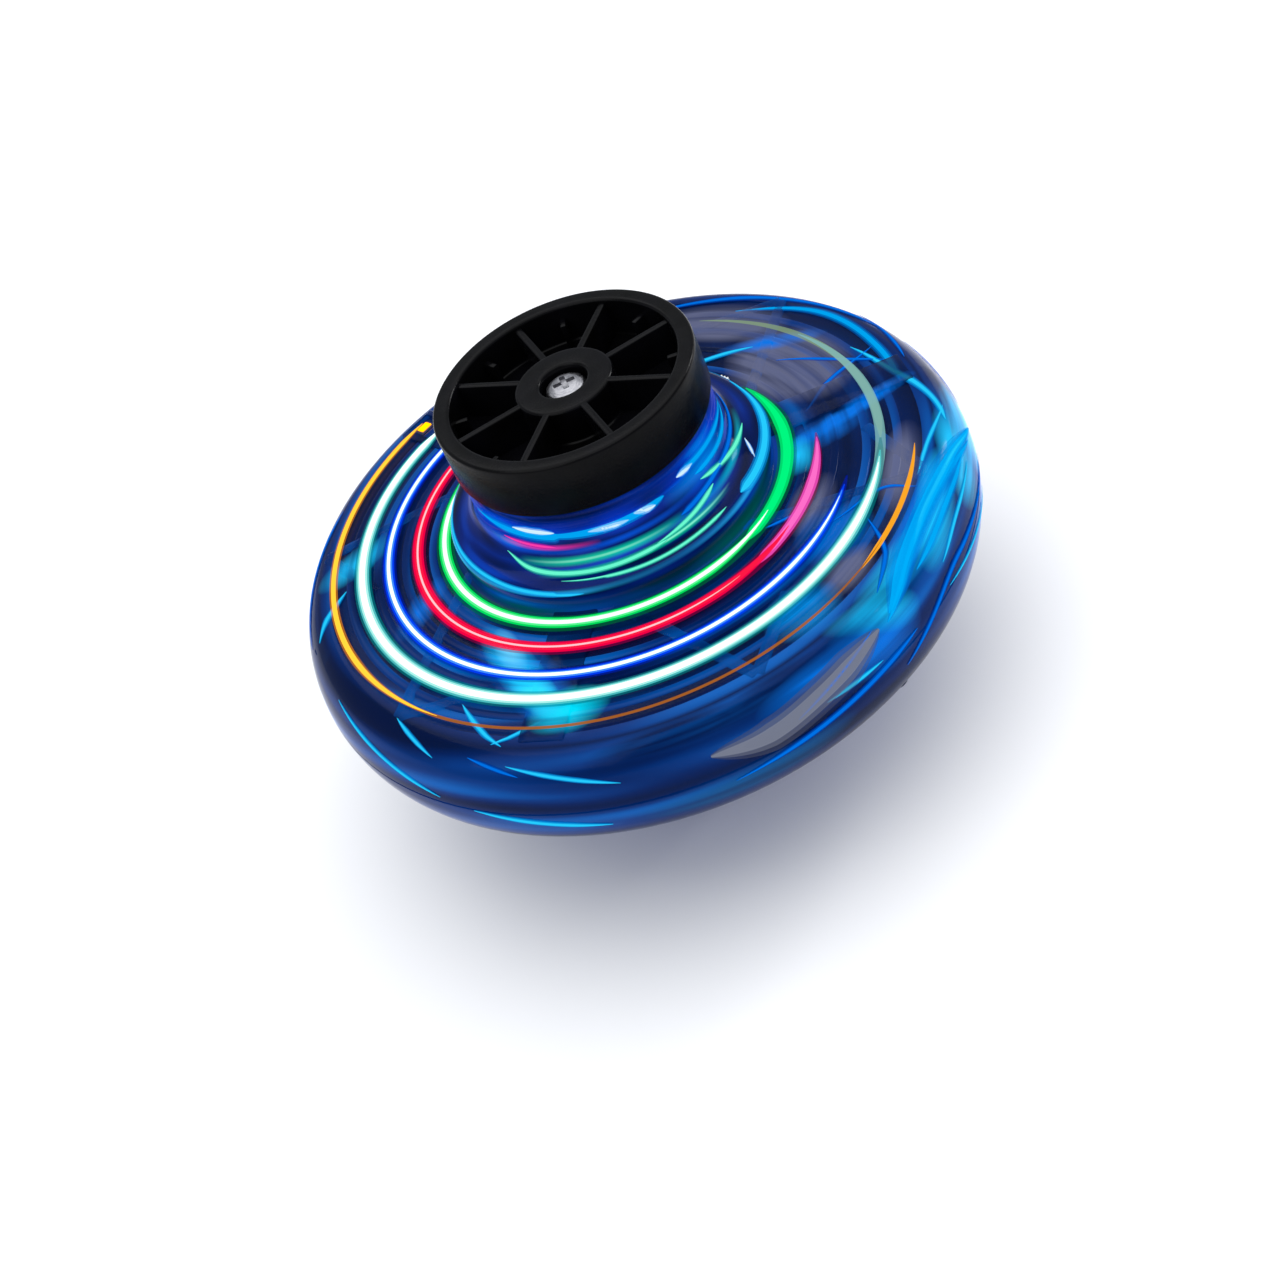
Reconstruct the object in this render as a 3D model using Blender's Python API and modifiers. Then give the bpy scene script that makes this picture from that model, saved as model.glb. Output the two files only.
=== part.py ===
"""A hand-held flying spinner, modelled piece by piece as it is assembled.

A clear blue cage carries the motor, battery, boards and lights. It spins between two
black grip caps, each on its own ball bearing, and a propeller turns inside it.

Sizes are in millimetres and are turned into metres by the helpers. Heights are
measured from the plane where the two halves of the cage meet. Each half is built in
its own frame, pointing up; the lower half's frame is turned over.
"""

from math import atan, atan2, cos, hypot, pi, radians, sin

import bmesh
import bpy
from mathutils import Matrix, Vector

MM = 0.001
TURN = 2 * pi
GAP = 0.3

# Overall size
RIM_RADIUS = 46.0
HALF_HEIGHT = 29.5

# Facets around large round pieces, guard rings, races, motor parts and small round pieces
LARGE_STEPS = 28
GUARD_STEPS = 24
RACE_STEPS = 20
MOTOR_STEPS = 16
SMALL_STEPS = 10
SMOOTH_ANGLE = radians(35)

# How far a cutting shape runs past the surface that it cuts
PAST = 1.0

# Grip cap
CAP_RADIUS = 17.3
CAP_EDGE = 0.7
CAP_FOOT_RADIUS = 17.0
CAP_FOOT = 21.6
CAP_LEDGE = 22.5
CAP_SKIRT_RADIUS = 15.6
CAP_UNDERSIDE = 22.4
CAP_RING_RADIUS = 15.0
CAP_HUB_RADIUS = 6.5
CAP_HUB_TOP = HALF_HEIGHT - 0.5
POCKET_FLOOR = 24.0
SPOKES = 8
SPOKE_WIDTH = 1.0
SPOKE_START = radians(9)
SPOKE_REACH = (CAP_HUB_RADIUS - 1, CAP_RING_RADIUS + 1)
SPOKE_SPAN = (POCKET_FLOOR - 0.8, CAP_HUB_TOP - 0.1)

# Spindle, bearing and spacer between a cap and the cage
SPINDLE_RADIUS = 1.5
SPINDLE_TOP = 26.6
SPINDLE_FLANGE_RADIUS = 2.6
SPINDLE_FLANGE_TOP = 16.4
SPINDLE_BOTTOM = 15.4
SPINDLE_HOLE_RADIUS = 0.9
SPINDLE_HOLE_FLOOR = 21.0
BEARING_BORE = SPINDLE_RADIUS + GAP
BEARING_INNER = 2.7
BEARING_OUTER_WALL = 4.2
BEARING_RADIUS = 5.0
BEARING_BOTTOM = 16.8
BEARING_TOP = 19.8
BALLS = 7
BALL_RADIUS = 0.6
BALL_FACETS = (6, 4)
BALL_CIRCLE = (BEARING_INNER + BEARING_OUTER_WALL) / 2
RETAINER_WIDTH = 0.4
RETAINER_HEIGHT = 0.6
SPACER_BOTTOM = 20.1
SPACER_TOP = 22.1

# Screws
CAP_SCREW_HEAD = (2.6, 1.3)
CAP_SCREW_SHANK = (0.6, 5.2)
CAP_SCREW_SEAT = 27.0
CAP_SCREW_RECESS = 3.1
FRAME_SCREW_HEAD = (1.1, 1.3)
FRAME_SCREW_SHANK = (0.5, 9.8)
FRAME_SCREW_SEAT = 5.0
PLATE_SCREW_HEAD = (1.2, 1.3)
PLATE_SCREW_SHANK = (0.5, 6.4)
SCREW_HOLE = 0.8

# Hub collar of the cage
COLLAR_TOP = 21.2
COLLAR_PLATE_UNDERSIDE = 20.0
COLLAR_HOLE = 3.2
COLLAR_WALL = 1.2
NECK_RADIUS = 16.5
NECK_FOOT = 18.2
NECK_CHAMFER = 0.5
FLARE = (17.4, 15.6)
FLARE_FOOT = (19.6, 13.6)
FLARE_INSIDE = (16.3, 14.9)
SHOULDER_RADIUS = 21.5
SHOULDER_HEIGHT = 12.8
SHOULDER_UNDERSIDE = 11.8
WALL_RADIUS = 20.2
SKIRT_BOTTOM = 5.6
BEARING_SEAT = BEARING_RADIUS + GAP
BEARING_BOSS_RADIUS = 6.6
BEARING_BOSS_BOTTOM = 16.6

# Deck of the cage: a shallow cone from the collar to the rim
DECK_INNER = (SHOULDER_RADIUS, 9.4)
DECK_OUTER = (41.0, 8.2)
DECK_SLOPE = (DECK_INNER[1] - DECK_OUTER[1]) / (DECK_OUTER[0] - DECK_INNER[0])
DECK_TILT = atan(DECK_SLOPE)
FLANGE_RADIUS = 22.6
FLANGE_UNDERSIDE = 7.6
GUARD_RINGS = (25.4, 29.4, 33.5, 37.5)
GUARD_WIDTH = 1.2
GUARD_DEPTH = 1.4
ARMS = 3
ARM_WIDTH = 6.0
ARM_TOP = 0.3
ARM_DEPTH = 3.0
ARM_REACH = (WALL_RADIUS + 0.7, DECK_OUTER[0] + 0.4)
RIB_REACH = (WALL_RADIUS + 0.8, DECK_OUTER[0] + 0.6)
RIB_WIDTH = 1.8
RIB_TOP = 0.15
RIB_DEPTH = 1.5
RIB_STARTS = (radians(14), radians(66))
RIB_SWEEP = radians(24)
STRUT_ROOT = 33.5
STRUT_SWEEP = radians(16)

# Rim of the cage: a quarter ellipse down to the plane where the halves meet
RIM_HALF = DECK_OUTER[1]
RIM_ROUND = RIM_RADIUS - DECK_OUTER[0]
RIM_WALL = 1.2
RIM_LIP_RADIUS = 40.6
RIM_FACETS = 4
SPLIT = GAP / 2

# Screw bosses of the cage
BOSS_ANGLES = (radians(60), radians(180), radians(300))
RIM_BOSS_CIRCLE = 42.2
RIM_BOSS_RADIUS = 1.9
RIM_BOSS_TOP = 6.6
RIM_HOLE_TOP = 5.2
RIM_SCREW_RECESS = 1.4
HUB_BOSS_CIRCLE = 18.8
HUB_BOSS_RADIUS = 1.6
HUB_BOSS_BOTTOM = 7.2
HUB_BOSS_TOP = 13.0
HUB_HOLE_TOP = 12.4

# Plates that close the two hubs, and the motor's sleeve
PLATE_RADIUS = WALL_RADIUS - GAP
PLATE_TOP = 6.9
PLATE_BOTTOM = 5.9
SLEEVE_OUTER = 4.8
SLEEVE_INNER = 3.8
SLEEVE_TOP = 9.9
SLEEVE_BOTTOM = 3.0

# Coreless motor
MOTOR_RADIUS = 3.5
MOTOR_INNER = 3.15
MOTOR_BOTTOM = 1.6
MOTOR_TOP = 13.6
MOTOR_FLOOR = 2.2
MOTOR_NECK = 0.8
SHAFT_RADIUS = 0.5
SHAFT_BOTTOM = -4.4
SHAFT_TOP = 12.3
MAGNET_RADIUS = 1.8
MAGNET_SPAN = (2.6, 10.9)
COIL_INNER = 2.1
COIL_OUTER = 2.8
COIL_SPAN = (3.0, 11.8)
COIL_DISC = 0.5
END_CAP_RADIUS = 2.95
END_CAP_SPAN = (12.7, 13.9)

# Propeller
BLADES = 4
TIP_RADIUS = 38.5
HUB_RADIUS = 2.3
HUB_SPAN = (-3.6, 1.0)
HUB_BORE = SHAFT_RADIUS + 0.2
BLADE_START = radians(20)
BLADE_ROOT = 1.5
BLADE_HEIGHT = -1.3
BLADE_CAMBER = 0.06
BLADE_THICKNESS = 0.9
BLADE_STATIONS = 8
CHORD_ROOT = 6.0
CHORD_BULGE = 4.5
CHORD_TIP = 4.5
CHORD_PEAK = 0.7
PITCH_ROOT = radians(32)
PITCH_TIP = radians(12)
NUT_RADIUS = 1.6
NUT_SPAN = (-5.4, -3.9)
NUT_CHAMFER = (0.6, 0.5)
NUT_HOLE_FLOOR = -4.7

# Boards, battery and the parts on the boards
BOARD_HOLE = 5.2
BOARD_RADIUS = 16.4
BOARD_SPAN = (8.5, 9.4)
ON_BOARD = BOARD_SPAN[1] + GAP
BATTERY_SIZE = (18.0, 8.0, 4.4)
BATTERY_CENTRE_Y = -10.0
BATTERY_EDGE = 0.8
LEAD_RADIUS = 0.4
LEAD_END = ON_BOARD + 0.1

# Each chip on the board: angle, reach, width and height
CHIPS = {
    "controller_chip": (radians(-12), (9.0, 13.0), 4.0, 1.1),
    "charger_chip": (radians(178), (9.6, 12.6), 3.0, 1.0),
    "motor_driver": (radians(150), (8.6, 11.4), 1.8, 1.2),
}

# Charging socket and power switch, each behind a window in the collar
WINDOW_REACH = (WALL_RADIUS - 1.2, SHOULDER_RADIUS + 1.5)
USB_ANGLE = radians(90)
USB_WINDOW_WIDTH = 8.3
USB_WINDOW_SPAN = (9.45, 12.35)
USB_WIDTH = 7.5
USB_HEIGHT = 2.4
USB_REACH = (14.6, 20.0)
USB_WALL = 0.35
USB_TONGUE = (15.6, 18.9)
USB_TONGUE_WIDTH = 4.6
USB_TONGUE_HEIGHT = 0.6
SWITCH_ANGLE = radians(30)
SWITCH_SPAN = (9.8, 12.0)
SWITCH_REACH = (15.4, 18.6)
SWITCH_WIDTH = 6.4
SWITCH_TRAVEL = 2.0
KNOB_WIDTH = 1.8
KNOB_HEIGHT = 1.4
KNOB_REACH = (19.2, 22.6)
STEM_HEIGHT = 0.6
STEM_REACH = (17.8, 19.4)
STEM_SLOT_FLOOR = 17.4
STEM_PLAY = 0.2

# Lights on the arm
LED_ANGLE = radians(120)
LED_LENGTH = 2.0
LED_WIDTH = 2.6
LED_SPAN = (-0.75, -0.05)
LED_BOARD_REACH = (16.9, 41.0)
LED_BOARD_WIDTH = 3.3
LED_BOARD_SPAN = (-1.5, -0.9)
TROUGH_REACH = (21.9, 41.2)
TROUGH_WIDTH = 3.8
TROUGH_FLOOR = -1.7
SLOT_REACH = (19.0, 22.5)
SLOT_CEILING = -0.6
LEDS = {"green": 23.4, "red": 27.3, "blue": 31.6, "white": 35.4, "orange": 39.7}

# Colour, roughness and metallic value of each finish
FINISHES = {
    "clear_blue": ((0.01, 0.14, 0.75), 0.08, 0.0),
    "black_grip": ((0.012, 0.012, 0.014), 0.38, 0.0),
    "black_plastic": ((0.03, 0.03, 0.035), 0.45, 0.0),
    "steel": ((0.62, 0.62, 0.64), 0.25, 1.0),
    "magnet": ((0.3, 0.3, 0.32), 0.4, 1.0),
    "copper": ((0.72, 0.3, 0.12), 0.35, 1.0),
    "white_plastic": ((0.8, 0.8, 0.8), 0.4, 0.0),
    "board_blue": ((0.01, 0.05, 0.2), 0.45, 0.0),
    "foil": ((0.7, 0.72, 0.75), 0.3, 0.9),
    "red_lead": ((0.6, 0.02, 0.02), 0.45, 0.0),
    "black_lead": ((0.02, 0.02, 0.02), 0.45, 0.0),
    "led_green": ((0.05, 0.9, 0.3), 0.3, 0.0),
    "led_red": ((0.9, 0.03, 0.15), 0.3, 0.0),
    "led_blue": ((0.05, 0.15, 0.95), 0.3, 0.0),
    "led_white": ((0.9, 0.95, 0.95), 0.3, 0.0),
    "led_orange": ((0.95, 0.5, 0.05), 0.3, 0.0),
}


# ---------------------------------------------------------------- helpers


def make_collection(name, parent=None):
    group = bpy.data.collections.new(name)
    (parent or bpy.context.scene.collection).children.link(group)
    return group


def make_empty(name, height, rotation=(0, 0, 0)):
    empty = bpy.data.objects.new(name, None)
    empty.location = (0, 0, height * MM)
    empty.rotation_euler = rotation
    empty.empty_display_size = RIM_RADIUS * MM
    PARTS.objects.link(empty)
    return empty


def add_object(name, data, half, group, location=(0, 0, 0), rotation=(0, 0, 0)):
    """Link an object into a group, placed in its half's frame."""
    obj = bpy.data.objects.new(name, data)
    obj.parent = half
    obj.location = [value * MM for value in location]
    obj.rotation_euler = rotation
    group.objects.link(obj)
    return obj


def paint(obj, finish):
    """Give an object a material of its own in one of the finishes."""
    colour, roughness, metallic = FINISHES[finish]
    material = bpy.data.materials.new(f"{obj.name}_{finish}")
    material.use_nodes = True
    shader = material.node_tree.nodes["Principled BSDF"]
    shader.inputs["Base Color"].default_value = (*colour, 1)
    shader.inputs["Roughness"].default_value = roughness
    shader.inputs["Metallic"].default_value = metallic
    obj.data.materials.append(material)
    return obj


def mesh_from(name, work):
    """Turn a bmesh in millimetres into a smooth-shaded mesh in metres."""
    bmesh.ops.scale(work, vec=(MM, MM, MM), verts=work.verts)
    mesh = bpy.data.meshes.new(name)
    work.to_mesh(mesh)
    work.free()
    mesh.shade_smooth()
    mesh.set_sharp_from_angle(angle=SMOOTH_ANGLE)
    return mesh


def box_mesh(name, size):
    work = bmesh.new()
    bmesh.ops.create_cube(work, size=1)
    bmesh.ops.scale(work, vec=size, verts=work.verts)
    return mesh_from(name, work)


def rod_mesh(name, radius, length, steps=SMALL_STEPS):
    """A cylinder along Z whose base sits at zero."""
    work = bmesh.new()
    bmesh.ops.create_cone(
        work, cap_ends=True, segments=steps, radius1=radius, radius2=radius, depth=length
    )
    bmesh.ops.translate(work, vec=(0, 0, length / 2), verts=work.verts)
    return mesh_from(name, work)


def turned(name, profile, half, group, steps=LARGE_STEPS, location=(0, 0, 0)):
    """Turn a profile of (radius, height) points, which runs down its outer side.

    A profile that starts and ends on the axis stays open, and any other is closed.
    """
    points = [(radius * MM, 0, height * MM) for radius, height in profile]
    edges = [(i, i + 1) for i in range(len(points) - 1)]
    if profile[0][0] > 0:
        edges.append((len(points) - 1, 0))
    mesh = bpy.data.meshes.new(name)
    mesh.from_pydata(points, edges, [])
    obj = add_object(name, mesh, half, group, location)
    screw = obj.modifiers.new("turn", "SCREW")
    screw.angle = TURN
    screw.steps = steps
    screw.render_steps = steps
    screw.use_merge_vertices = True
    screw.merge_threshold = 0.00001
    screw.use_smooth_shade = True
    return obj


def washer(name, inner, outer, bottom, top, half, group, steps=LARGE_STEPS):
    profile = [(outer, top), (outer, bottom), (inner, bottom), (inner, top)]
    return turned(name, profile, half, group, steps)


def polar_box(name, angle, reach, width, span, half, group, offset=0.0):
    """A level box that points outwards at an angle: reach is radial, span is height."""
    radius = sum(reach) / 2
    size = (reach[1] - reach[0], width, span[1] - span[0])
    centre = Matrix.Rotation(angle, 3, "Z") @ Vector((radius, offset, sum(span) / 2))
    return add_object(name, box_mesh(name, size), half, group, centre, (0, 0, angle))


def polar_point(circle, angle, height):
    return circle * cos(angle), circle * sin(angle), height


def deck_height(radius):
    return DECK_INNER[1] - (radius - DECK_INNER[0]) * DECK_SLOPE


def deck_box(name, angle, reach, width, span, half, group):
    """A box that points outwards and lies along the deck; span is measured from it."""
    radius = sum(reach) / 2
    size = ((reach[1] - reach[0]) / cos(DECK_TILT), width, span[1] - span[0])
    centre = polar_point(radius, angle, deck_height(radius) + sum(span) / 2)
    return add_object(name, box_mesh(name, size), half, group, centre, (0, DECK_TILT, angle))


def deck_bar(name, start, end, half, group):
    """A straight rib on the deck between two points given as (radius, angle)."""
    x1, y1 = start[0] * cos(start[1]), start[0] * sin(start[1])
    x2, y2 = end[0] * cos(end[1]), end[0] * sin(end[1])
    drop = deck_height(start[0]) - deck_height(end[0])
    run = hypot(x2 - x1, y2 - y1)
    size = (hypot(run, drop), RIB_WIDTH, RIB_TOP + RIB_DEPTH)
    height = (deck_height(start[0]) + deck_height(end[0]) + RIB_TOP - RIB_DEPTH) / 2
    centre = ((x1 + x2) / 2, (y1 + y2) / 2, height)
    rotation = (0, atan2(drop, run), atan2(y2 - y1, x2 - x1))
    return add_object(name, box_mesh(name, size), half, group, centre, rotation)


def make_tools(name):
    """A collection of joining or cutting shapes, left out of the finished object."""
    return make_collection(name, TOOLS)


def combine(obj, group, operation):
    """Join or cut an object with every shape of a group."""
    for tool in group.objects:
        tool.hide_render = True
        tool.display_type = "WIRE"
    boolean = obj.modifiers.new(group.name, "BOOLEAN")
    boolean.operation = operation
    boolean.operand_type = "COLLECTION"
    boolean.collection = group
    boolean.solver = "EXACT"


def bevel(obj, width, segments=2):
    modifier = obj.modifiers.new("edges", "BEVEL")
    modifier.width = width * MM
    modifier.segments = segments
    modifier.limit_method = "ANGLE"


def lead(name, points, finish, half):
    """An insulated wire along points, as a tube with closed ends."""
    curve = bpy.data.curves.new(name, "CURVE")
    curve.dimensions = "3D"
    curve.bevel_depth = LEAD_RADIUS * MM
    curve.bevel_resolution = 1
    curve.use_fill_caps = True
    spline = curve.splines.new("POLY")
    spline.points.add(len(points) - 1)
    for target, point in zip(spline.points, points):
        target.co = (*[value * MM for value in point], 1)
    return paint(add_object(name, curve, half, PARTS), finish)


# ---------------------------------------------------------------- grip and bearing


def screw_profile(head, shank):
    """A cheese-head screw with its seat at zero and its shank pointing down."""
    return [
        (0, head[1]),
        (head[0], head[1]),
        (head[0], 0),
        (shank[0], 0),
        (shank[0], -shank[1]),
        (0, -shank[1]),
    ]


def build_screw(name, head, shank, half, circle, angle, seat, up):
    """A screw standing on its seat, or hanging from it with its head below."""
    location = polar_point(circle, angle, seat)
    obj = turned(name, screw_profile(head, shank), half, PARTS, SMALL_STEPS, location)
    if not up:
        obj.rotation_euler = (pi, 0, 0)
    return paint(obj, "steel")


def build_cap(prefix, half):
    """The black grip cap: a cup with eight deep pockets around its hub."""
    profile = [
        (CAP_RADIUS - CAP_EDGE, HALF_HEIGHT),
        (CAP_RADIUS, HALF_HEIGHT - CAP_EDGE),
        (CAP_RADIUS, CAP_LEDGE),
        (CAP_FOOT_RADIUS, CAP_LEDGE),
        (CAP_FOOT_RADIUS, CAP_FOOT),
        (CAP_SKIRT_RADIUS, CAP_FOOT),
        (CAP_SKIRT_RADIUS, CAP_UNDERSIDE),
        (BEARING_BORE, CAP_UNDERSIDE),
        (BEARING_BORE, CAP_SCREW_SEAT),
        (CAP_SCREW_RECESS, CAP_SCREW_SEAT),
        (CAP_SCREW_RECESS, CAP_HUB_TOP),
        (CAP_HUB_RADIUS, CAP_HUB_TOP),
        (CAP_HUB_RADIUS, POCKET_FLOOR),
        (CAP_RING_RADIUS, POCKET_FLOOR),
        (CAP_RING_RADIUS, HALF_HEIGHT),
    ]
    cap = turned(f"{prefix}_grip_cap", profile, half, PARTS)
    spokes = make_tools(f"{prefix}_cap_spokes")
    for i in range(SPOKES):
        name = f"{prefix}_spoke_{i}"
        angle = SPOKE_START + i * TURN / SPOKES
        polar_box(name, angle, SPOKE_REACH, SPOKE_WIDTH, SPOKE_SPAN, half, spokes)
    combine(cap, spokes, "UNION")
    return paint(cap, "black_grip")


def build_spindle(prefix, half):
    """The steel spindle, with a flange under the bearing and a threaded end."""
    profile = [
        (0, SPINDLE_HOLE_FLOOR),
        (SPINDLE_HOLE_RADIUS, SPINDLE_HOLE_FLOOR),
        (SPINDLE_HOLE_RADIUS, SPINDLE_TOP),
        (SPINDLE_RADIUS, SPINDLE_TOP),
        (SPINDLE_RADIUS, SPINDLE_FLANGE_TOP),
        (SPINDLE_FLANGE_RADIUS, SPINDLE_FLANGE_TOP),
        (SPINDLE_FLANGE_RADIUS, SPINDLE_BOTTOM),
        (0, SPINDLE_BOTTOM),
    ]
    spindle = turned(f"{prefix}_spindle", profile, half, PARTS, SMALL_STEPS)
    return paint(spindle, "steel")


def build_bearing(prefix, half):
    """A ball bearing: two races, and seven balls held by one retainer."""
    races = {
        "inner": (BEARING_BORE, BEARING_INNER),
        "outer": (BEARING_OUTER_WALL, BEARING_RADIUS),
    }
    for side, (inner, outer) in races.items():
        name = f"{prefix}_bearing_{side}_race"
        span = (BEARING_BOTTOM, BEARING_TOP)
        paint(washer(name, inner, outer, *span, half, PARTS, RACE_STEPS), "steel")
    middle = (BEARING_BOTTOM + BEARING_TOP) / 2
    retainer = washer(
        f"{prefix}_bearing_balls",
        BALL_CIRCLE - RETAINER_WIDTH / 2,
        BALL_CIRCLE + RETAINER_WIDTH / 2,
        middle - RETAINER_HEIGHT / 2,
        middle + RETAINER_HEIGHT / 2,
        half,
        PARTS,
        2 * BALLS,
    )
    balls = make_tools(f"{prefix}_balls")
    around, down = BALL_FACETS
    work = bmesh.new()
    bmesh.ops.create_uvsphere(work, u_segments=around, v_segments=down, radius=BALL_RADIUS)
    mesh = mesh_from("ball", work)
    for i in range(BALLS):
        angle = (i + 0.5) * TURN / BALLS
        location = polar_point(BALL_CIRCLE, angle, middle)
        add_object(f"{prefix}_ball_{i}", mesh, half, balls, location, (0, 0, angle))
    combine(retainer, balls, "UNION")
    paint(retainer, "steel")


def build_grip(prefix, half):
    """Everything that a finger holds still while the cage spins."""
    build_cap(prefix, half)
    build_spindle(prefix, half)
    build_bearing(prefix, half)
    spacer = washer(
        f"{prefix}_spacer",
        BEARING_BORE,
        BEARING_INNER,
        SPACER_BOTTOM,
        SPACER_TOP,
        half,
        PARTS,
        SMALL_STEPS,
    )
    paint(spacer, "white_plastic")
    seat = CAP_SCREW_SEAT + GAP
    build_screw(
        f"{prefix}_cap_screw", CAP_SCREW_HEAD, CAP_SCREW_SHANK, half, 0, 0, seat, True
    )


# ---------------------------------------------------------------- cage


def collar_profile():
    """The hub: bearing seat, neck, flared shoulder, deck flange and inner skirt."""
    return [
        (COLLAR_HOLE, COLLAR_TOP),
        (NECK_RADIUS - NECK_CHAMFER, COLLAR_TOP),
        (NECK_RADIUS, COLLAR_TOP - NECK_CHAMFER),
        (NECK_RADIUS, NECK_FOOT),
        FLARE,
        FLARE_FOOT,
        (SHOULDER_RADIUS, SHOULDER_HEIGHT),
        DECK_INNER,
        (FLANGE_RADIUS, deck_height(FLANGE_RADIUS)),
        (FLANGE_RADIUS, FLANGE_UNDERSIDE),
        (SHOULDER_RADIUS, SKIRT_BOTTOM),
        (WALL_RADIUS, SKIRT_BOTTOM),
        (WALL_RADIUS, SHOULDER_UNDERSIDE),
        FLARE_INSIDE,
        (NECK_RADIUS - COLLAR_WALL, NECK_FOOT),
        (NECK_RADIUS - COLLAR_WALL, COLLAR_PLATE_UNDERSIDE),
        (BEARING_BOSS_RADIUS, COLLAR_PLATE_UNDERSIDE),
        (BEARING_BOSS_RADIUS, BEARING_BOSS_BOTTOM),
        (BEARING_SEAT, BEARING_BOSS_BOTTOM),
        (BEARING_SEAT, BEARING_TOP + GAP),
        (COLLAR_HOLE, BEARING_TOP + GAP),
    ]


def rim_curve(inset, facets):
    """Points down the rim's section, from the deck to the plane between the halves."""
    points = []
    for i in range(facets + 1):
        angle = pi / 2 * (1 - i / facets)
        radius = DECK_OUTER[0] + (RIM_ROUND - inset) * cos(angle)
        height = max((RIM_HALF - inset) * sin(angle), SPLIT)
        points.append((radius, height))
    return points


def rim_profile():
    outside = [(RIM_LIP_RADIUS, RIM_HALF)] + rim_curve(0, RIM_FACETS)
    inside = rim_curve(RIM_WALL, RIM_FACETS - 1)[::-1]
    inside.append((RIM_LIP_RADIUS, RIM_HALF - RIM_WALL))
    return outside + inside


def frame_joins(prefix, half):
    """The rim, guard rings, arms, ribs and bosses that are moulded with the collar."""
    joins = make_tools(f"{prefix}_frame_joins")
    turned(f"{prefix}_rim", rim_profile(), half, joins)
    for i, radius in enumerate(GUARD_RINGS):
        top = deck_height(radius)
        ring = (radius - GUARD_WIDTH / 2, radius + GUARD_WIDTH / 2)
        span = (top - GUARD_DEPTH, top)
        washer(f"{prefix}_guard_{i}", *ring, *span, half, joins, GUARD_STEPS)
    for i in range(ARMS):
        start = i * TURN / ARMS
        span = (-ARM_DEPTH, ARM_TOP)
        deck_box(f"{prefix}_arm_{i}", start, ARM_REACH, ARM_WIDTH, span, half, joins)
        for j, rib in enumerate(RIB_STARTS):
            foot = (RIB_REACH[0], start + rib)
            tip = (RIB_REACH[1], start + rib + RIB_SWEEP)
            root = (STRUT_ROOT, start + rib + RIB_SWEEP + STRUT_SWEEP)
            deck_bar(f"{prefix}_rib_{i}_{j}", foot, tip, half, joins)
            deck_bar(f"{prefix}_strut_{i}_{j}", root, tip, half, joins)
    bosses = {
        "rim": (RIM_BOSS_CIRCLE, RIM_BOSS_RADIUS, SPLIT, RIM_BOSS_TOP),
        "hub": (HUB_BOSS_CIRCLE, HUB_BOSS_RADIUS, HUB_BOSS_BOTTOM, HUB_BOSS_TOP),
    }
    for kind, (circle, radius, bottom, top) in bosses.items():
        mesh = rod_mesh(f"{kind}_boss", radius, top - bottom)
        for i, angle in enumerate(BOSS_ANGLES):
            location = polar_point(circle, angle, bottom)
            add_object(f"{prefix}_{kind}_boss_{i}", mesh, half, joins, location)
    return joins


def screw_holes(prefix, half, cuts):
    """Blind holes in the hub's bosses, for the screws of the plate that closes it."""
    bottom = HUB_BOSS_BOTTOM - PAST
    mesh = rod_mesh("hub_hole", SCREW_HOLE, HUB_HOLE_TOP - bottom)
    for i, angle in enumerate(BOSS_ANGLES):
        location = polar_point(HUB_BOSS_CIRCLE, angle, bottom)
        add_object(f"{prefix}_hub_hole_{i}", mesh, half, cuts, location)


def rim_holes(prefix, half, cuts, bottom, top, radius):
    mesh = rod_mesh("rim_hole", radius, top - bottom)
    for i, angle in enumerate(BOSS_ANGLES):
        location = polar_point(RIM_BOSS_CIRCLE, angle, bottom)
        add_object(f"{prefix}_{mesh.name}_{i}", mesh, half, cuts, location)


def build_frame(prefix, half):
    frame = turned(f"{prefix}_frame", collar_profile(), half, PARTS)
    combine(frame, frame_joins(prefix, half), "UNION")
    cuts = make_tools(f"{prefix}_frame_cuts")
    screw_holes(prefix, half, cuts)
    return frame, cuts


def build_upper_frame():
    """The upper half: its cuts are for the socket, the switch and the light board."""
    frame, cuts = build_frame("upper", UPPER)
    rim_holes("upper", UPPER, cuts, -PAST, RIM_HOLE_TOP, SCREW_HOLE)
    reach = WINDOW_REACH
    polar_box("usb_window", USB_ANGLE, reach, USB_WINDOW_WIDTH, USB_WINDOW_SPAN, UPPER, cuts)
    slot = KNOB_WIDTH + SWITCH_TRAVEL + 2 * GAP
    middle = sum(SWITCH_SPAN) / 2
    window = (middle - KNOB_HEIGHT / 2 - GAP, middle + KNOB_HEIGHT / 2 + GAP)
    polar_box("knob_window", SWITCH_ANGLE, reach, slot, window, UPPER, cuts)
    trough = (TROUGH_FLOOR, ARM_TOP + PAST)
    deck_box("light_trough", LED_ANGLE, TROUGH_REACH, TROUGH_WIDTH, trough, UPPER, cuts)
    slot = (TROUGH_FLOOR, SLOT_CEILING)
    deck_box("light_slot", LED_ANGLE, SLOT_REACH, TROUGH_WIDTH, slot, UPPER, cuts)
    combine(frame, cuts, "DIFFERENCE")
    paint(frame, "clear_blue")


def build_lower_frame():
    """The lower half: its rim bosses take the heads of the long frame screws."""
    frame, cuts = build_frame("lower", LOWER)
    top = RIM_HALF + PAST
    rim_holes("lower", LOWER, cuts, -PAST, top, SCREW_HOLE)
    rim_holes("lower_recess", LOWER, cuts, FRAME_SCREW_SEAT, top, RIM_SCREW_RECESS)
    combine(frame, cuts, "DIFFERENCE")
    paint(frame, "clear_blue")
    for i, angle in enumerate(BOSS_ANGLES):
        build_screw(
            f"frame_screw_{i + 1}",
            FRAME_SCREW_HEAD,
            FRAME_SCREW_SHANK,
            LOWER,
            RIM_BOSS_CIRCLE,
            angle,
            FRAME_SCREW_SEAT + GAP,
            True,
        )


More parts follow.
